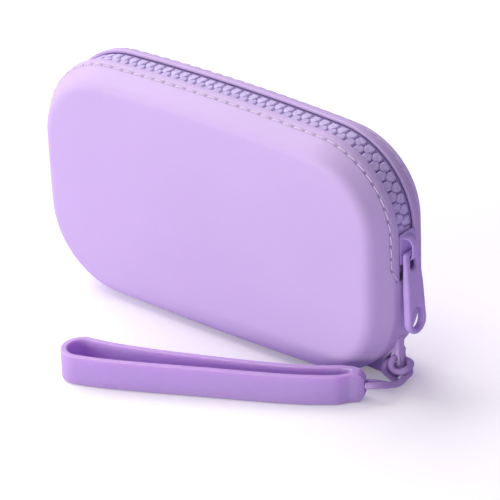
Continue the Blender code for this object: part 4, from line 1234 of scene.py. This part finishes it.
def soft_lamp(name, place, width, height, power):
    """Rectangular lamp, turned to the middle of the bag."""
    data = bpy.data.lights.new(name, "AREA")
    data.shape, data.size, data.size_y, data.energy = "RECTANGLE", width, height, power
    data.color = linear("#FFFEF6")[:3]
    made = bpy.data.objects.new(name, data)
    made.location = place
    bag_middle = Vector((0, 0, 0.04))
    made.rotation_euler = (made.location - bag_middle).to_track_quat("Z", "Y").to_euler()
    bpy.context.scene.collection.objects.link(made)


class PhotoStage(Maker, bpy.types.Operator):
    """Make the floor and backdrop, the soft lamps and the camera"""

    bl_idname = "makeup_bag.photo_stage"
    bl_label = "Photo stage"
    needs = ("colours",)

    def build(self, colours):
        scene = bpy.context.scene
        # Angles, place and lens come from a fit of the camera to the bag's outline in the photograph
        yaw, rise, roll = (math.radians(angle) for angle in (40.84, 27.38, -2.665))
        heading = np.array([-math.sin(yaw), math.cos(yaw), 0])
        level = np.array([heading[1], -heading[0], 0])

        # The sweep runs flat under the bag and bends up behind it, square to the camera's heading:
        # its points are the way along the heading and the height
        half_width, below = 2.0, 0.0002
        sweep = np.array([(-1.2, 0.0), (0.9, 0.0), (1.1, 0.04), (1.22, 0.16), (1.26, 0.4), (1.26, 2.4)])
        grid = sweep[:, None, :1] * heading + np.array([[-half_width], [half_width]]) * level
        grid[..., 2] = sweep[:, 1:] - below
        mesh = bpy.data.meshes.new("studio_sweep")
        mesh.from_pydata(grid.reshape(-1, 3).tolist(), [], quads(len(sweep), 2).tolist())
        mesh.shade_smooth()
        mesh.materials.append(paper_sweep(colours.floor))
        floor = bpy.data.objects.new("studio_sweep", mesh)
        scene.collection.objects.link(floor)

        scene.world = scene.world or bpy.data.worlds.new("studio")
        scene.world.use_nodes = True
        sky = scene.world.node_tree.nodes["Background"].inputs
        sky["Color"].default_value, sky["Strength"].default_value = linear("#F1E6FF"), 0.36
        soft_lamp("top_softbox", (-0.8, 0.1, 1.0), 1.2, 1.0, 14)
        soft_lamp("front_softbox", (-0.9, -1.75, 0.35), 2.0, 1.2, 25)
        soft_lamp("low_softbox", (0.2, -1.0, 0.08), 0.6, 0.4, 3)

        # The view is turned to the middle of the photograph, so that the camera needs no shift.
        # The turns are shares of the picture's width
        data = bpy.data.cameras.new("photo_camera")
        data.lens, data.sensor_width, data.clip_end = 297.6, 36, 20
        focal = data.lens / data.sensor_width
        aside, down, place = 0.0404, 0.151, (0.7253, -0.8391, 0.6242)
        view = Vector(heading * math.cos(rise)) - Vector((0, 0, math.sin(rise)))
        level = Vector(level)
        upright = level.cross(view)
        right = level * math.cos(roll) + upright * math.sin(roll)
        up = upright * math.cos(roll) - level * math.sin(roll)
        view = (view + right * aside / focal - up * down / focal).normalized()
        right = view.cross(up).normalized()
        turned = Matrix((right, right.cross(view), -view)).transposed().to_4x4()
        camera = bpy.data.objects.new("photo_camera", data)
        camera.matrix_world = Matrix.Translation(place) @ turned
        scene.collection.objects.link(camera)
        scene.camera = camera
        scene.view_settings.view_transform = "Standard"


OPERATORS = (
    PouchWall, CornerLug, ZipTapes, ZipTeeth, EndStops, ZipSlider, ZipPull, WristStrap, HitchCord,
    SeamStitches, PhotoStage,
)


class MakeupBagPanel(bpy.types.Panel):
    """Lists the bag's pieces and their sizes"""

    bl_idname = "VIEW3D_PT_makeup_bag"
    bl_label = "Makeup bag"
    bl_space_type = "VIEW_3D"
    bl_region_type = "UI"
    bl_category = "Makeup bag"

    def draw(self, context):
        for name, kind in SETTINGS.items():
            box = self.layout.box()
            for key in kind.__annotations__:
                label = key.replace("_", " ").capitalize()
                box.prop(getattr(context.scene, f"makeup_bag_{name}"), key, text=label)
        for operator in OPERATORS:
            self.layout.operator(operator.bl_idname)


CLASSES = (*SETTINGS.values(), *OPERATORS, MakeupBagPanel)


def register():
    for kind in CLASSES:
        bpy.utils.register_class(kind)
    for name, group in SETTINGS.items():
        setattr(bpy.types.Scene, f"makeup_bag_{name}", bpy.props.PointerProperty(type=group))


def unregister():
    for name in SETTINGS:
        delattr(bpy.types.Scene, f"makeup_bag_{name}")
    for kind in reversed(CLASSES):
        bpy.utils.unregister_class(kind)


def main():
    register()
    for operator in OPERATORS:
        group, name = operator.bl_idname.split(".")
        getattr(getattr(bpy.ops, group), name)()


if __name__ == "__main__":
    main()
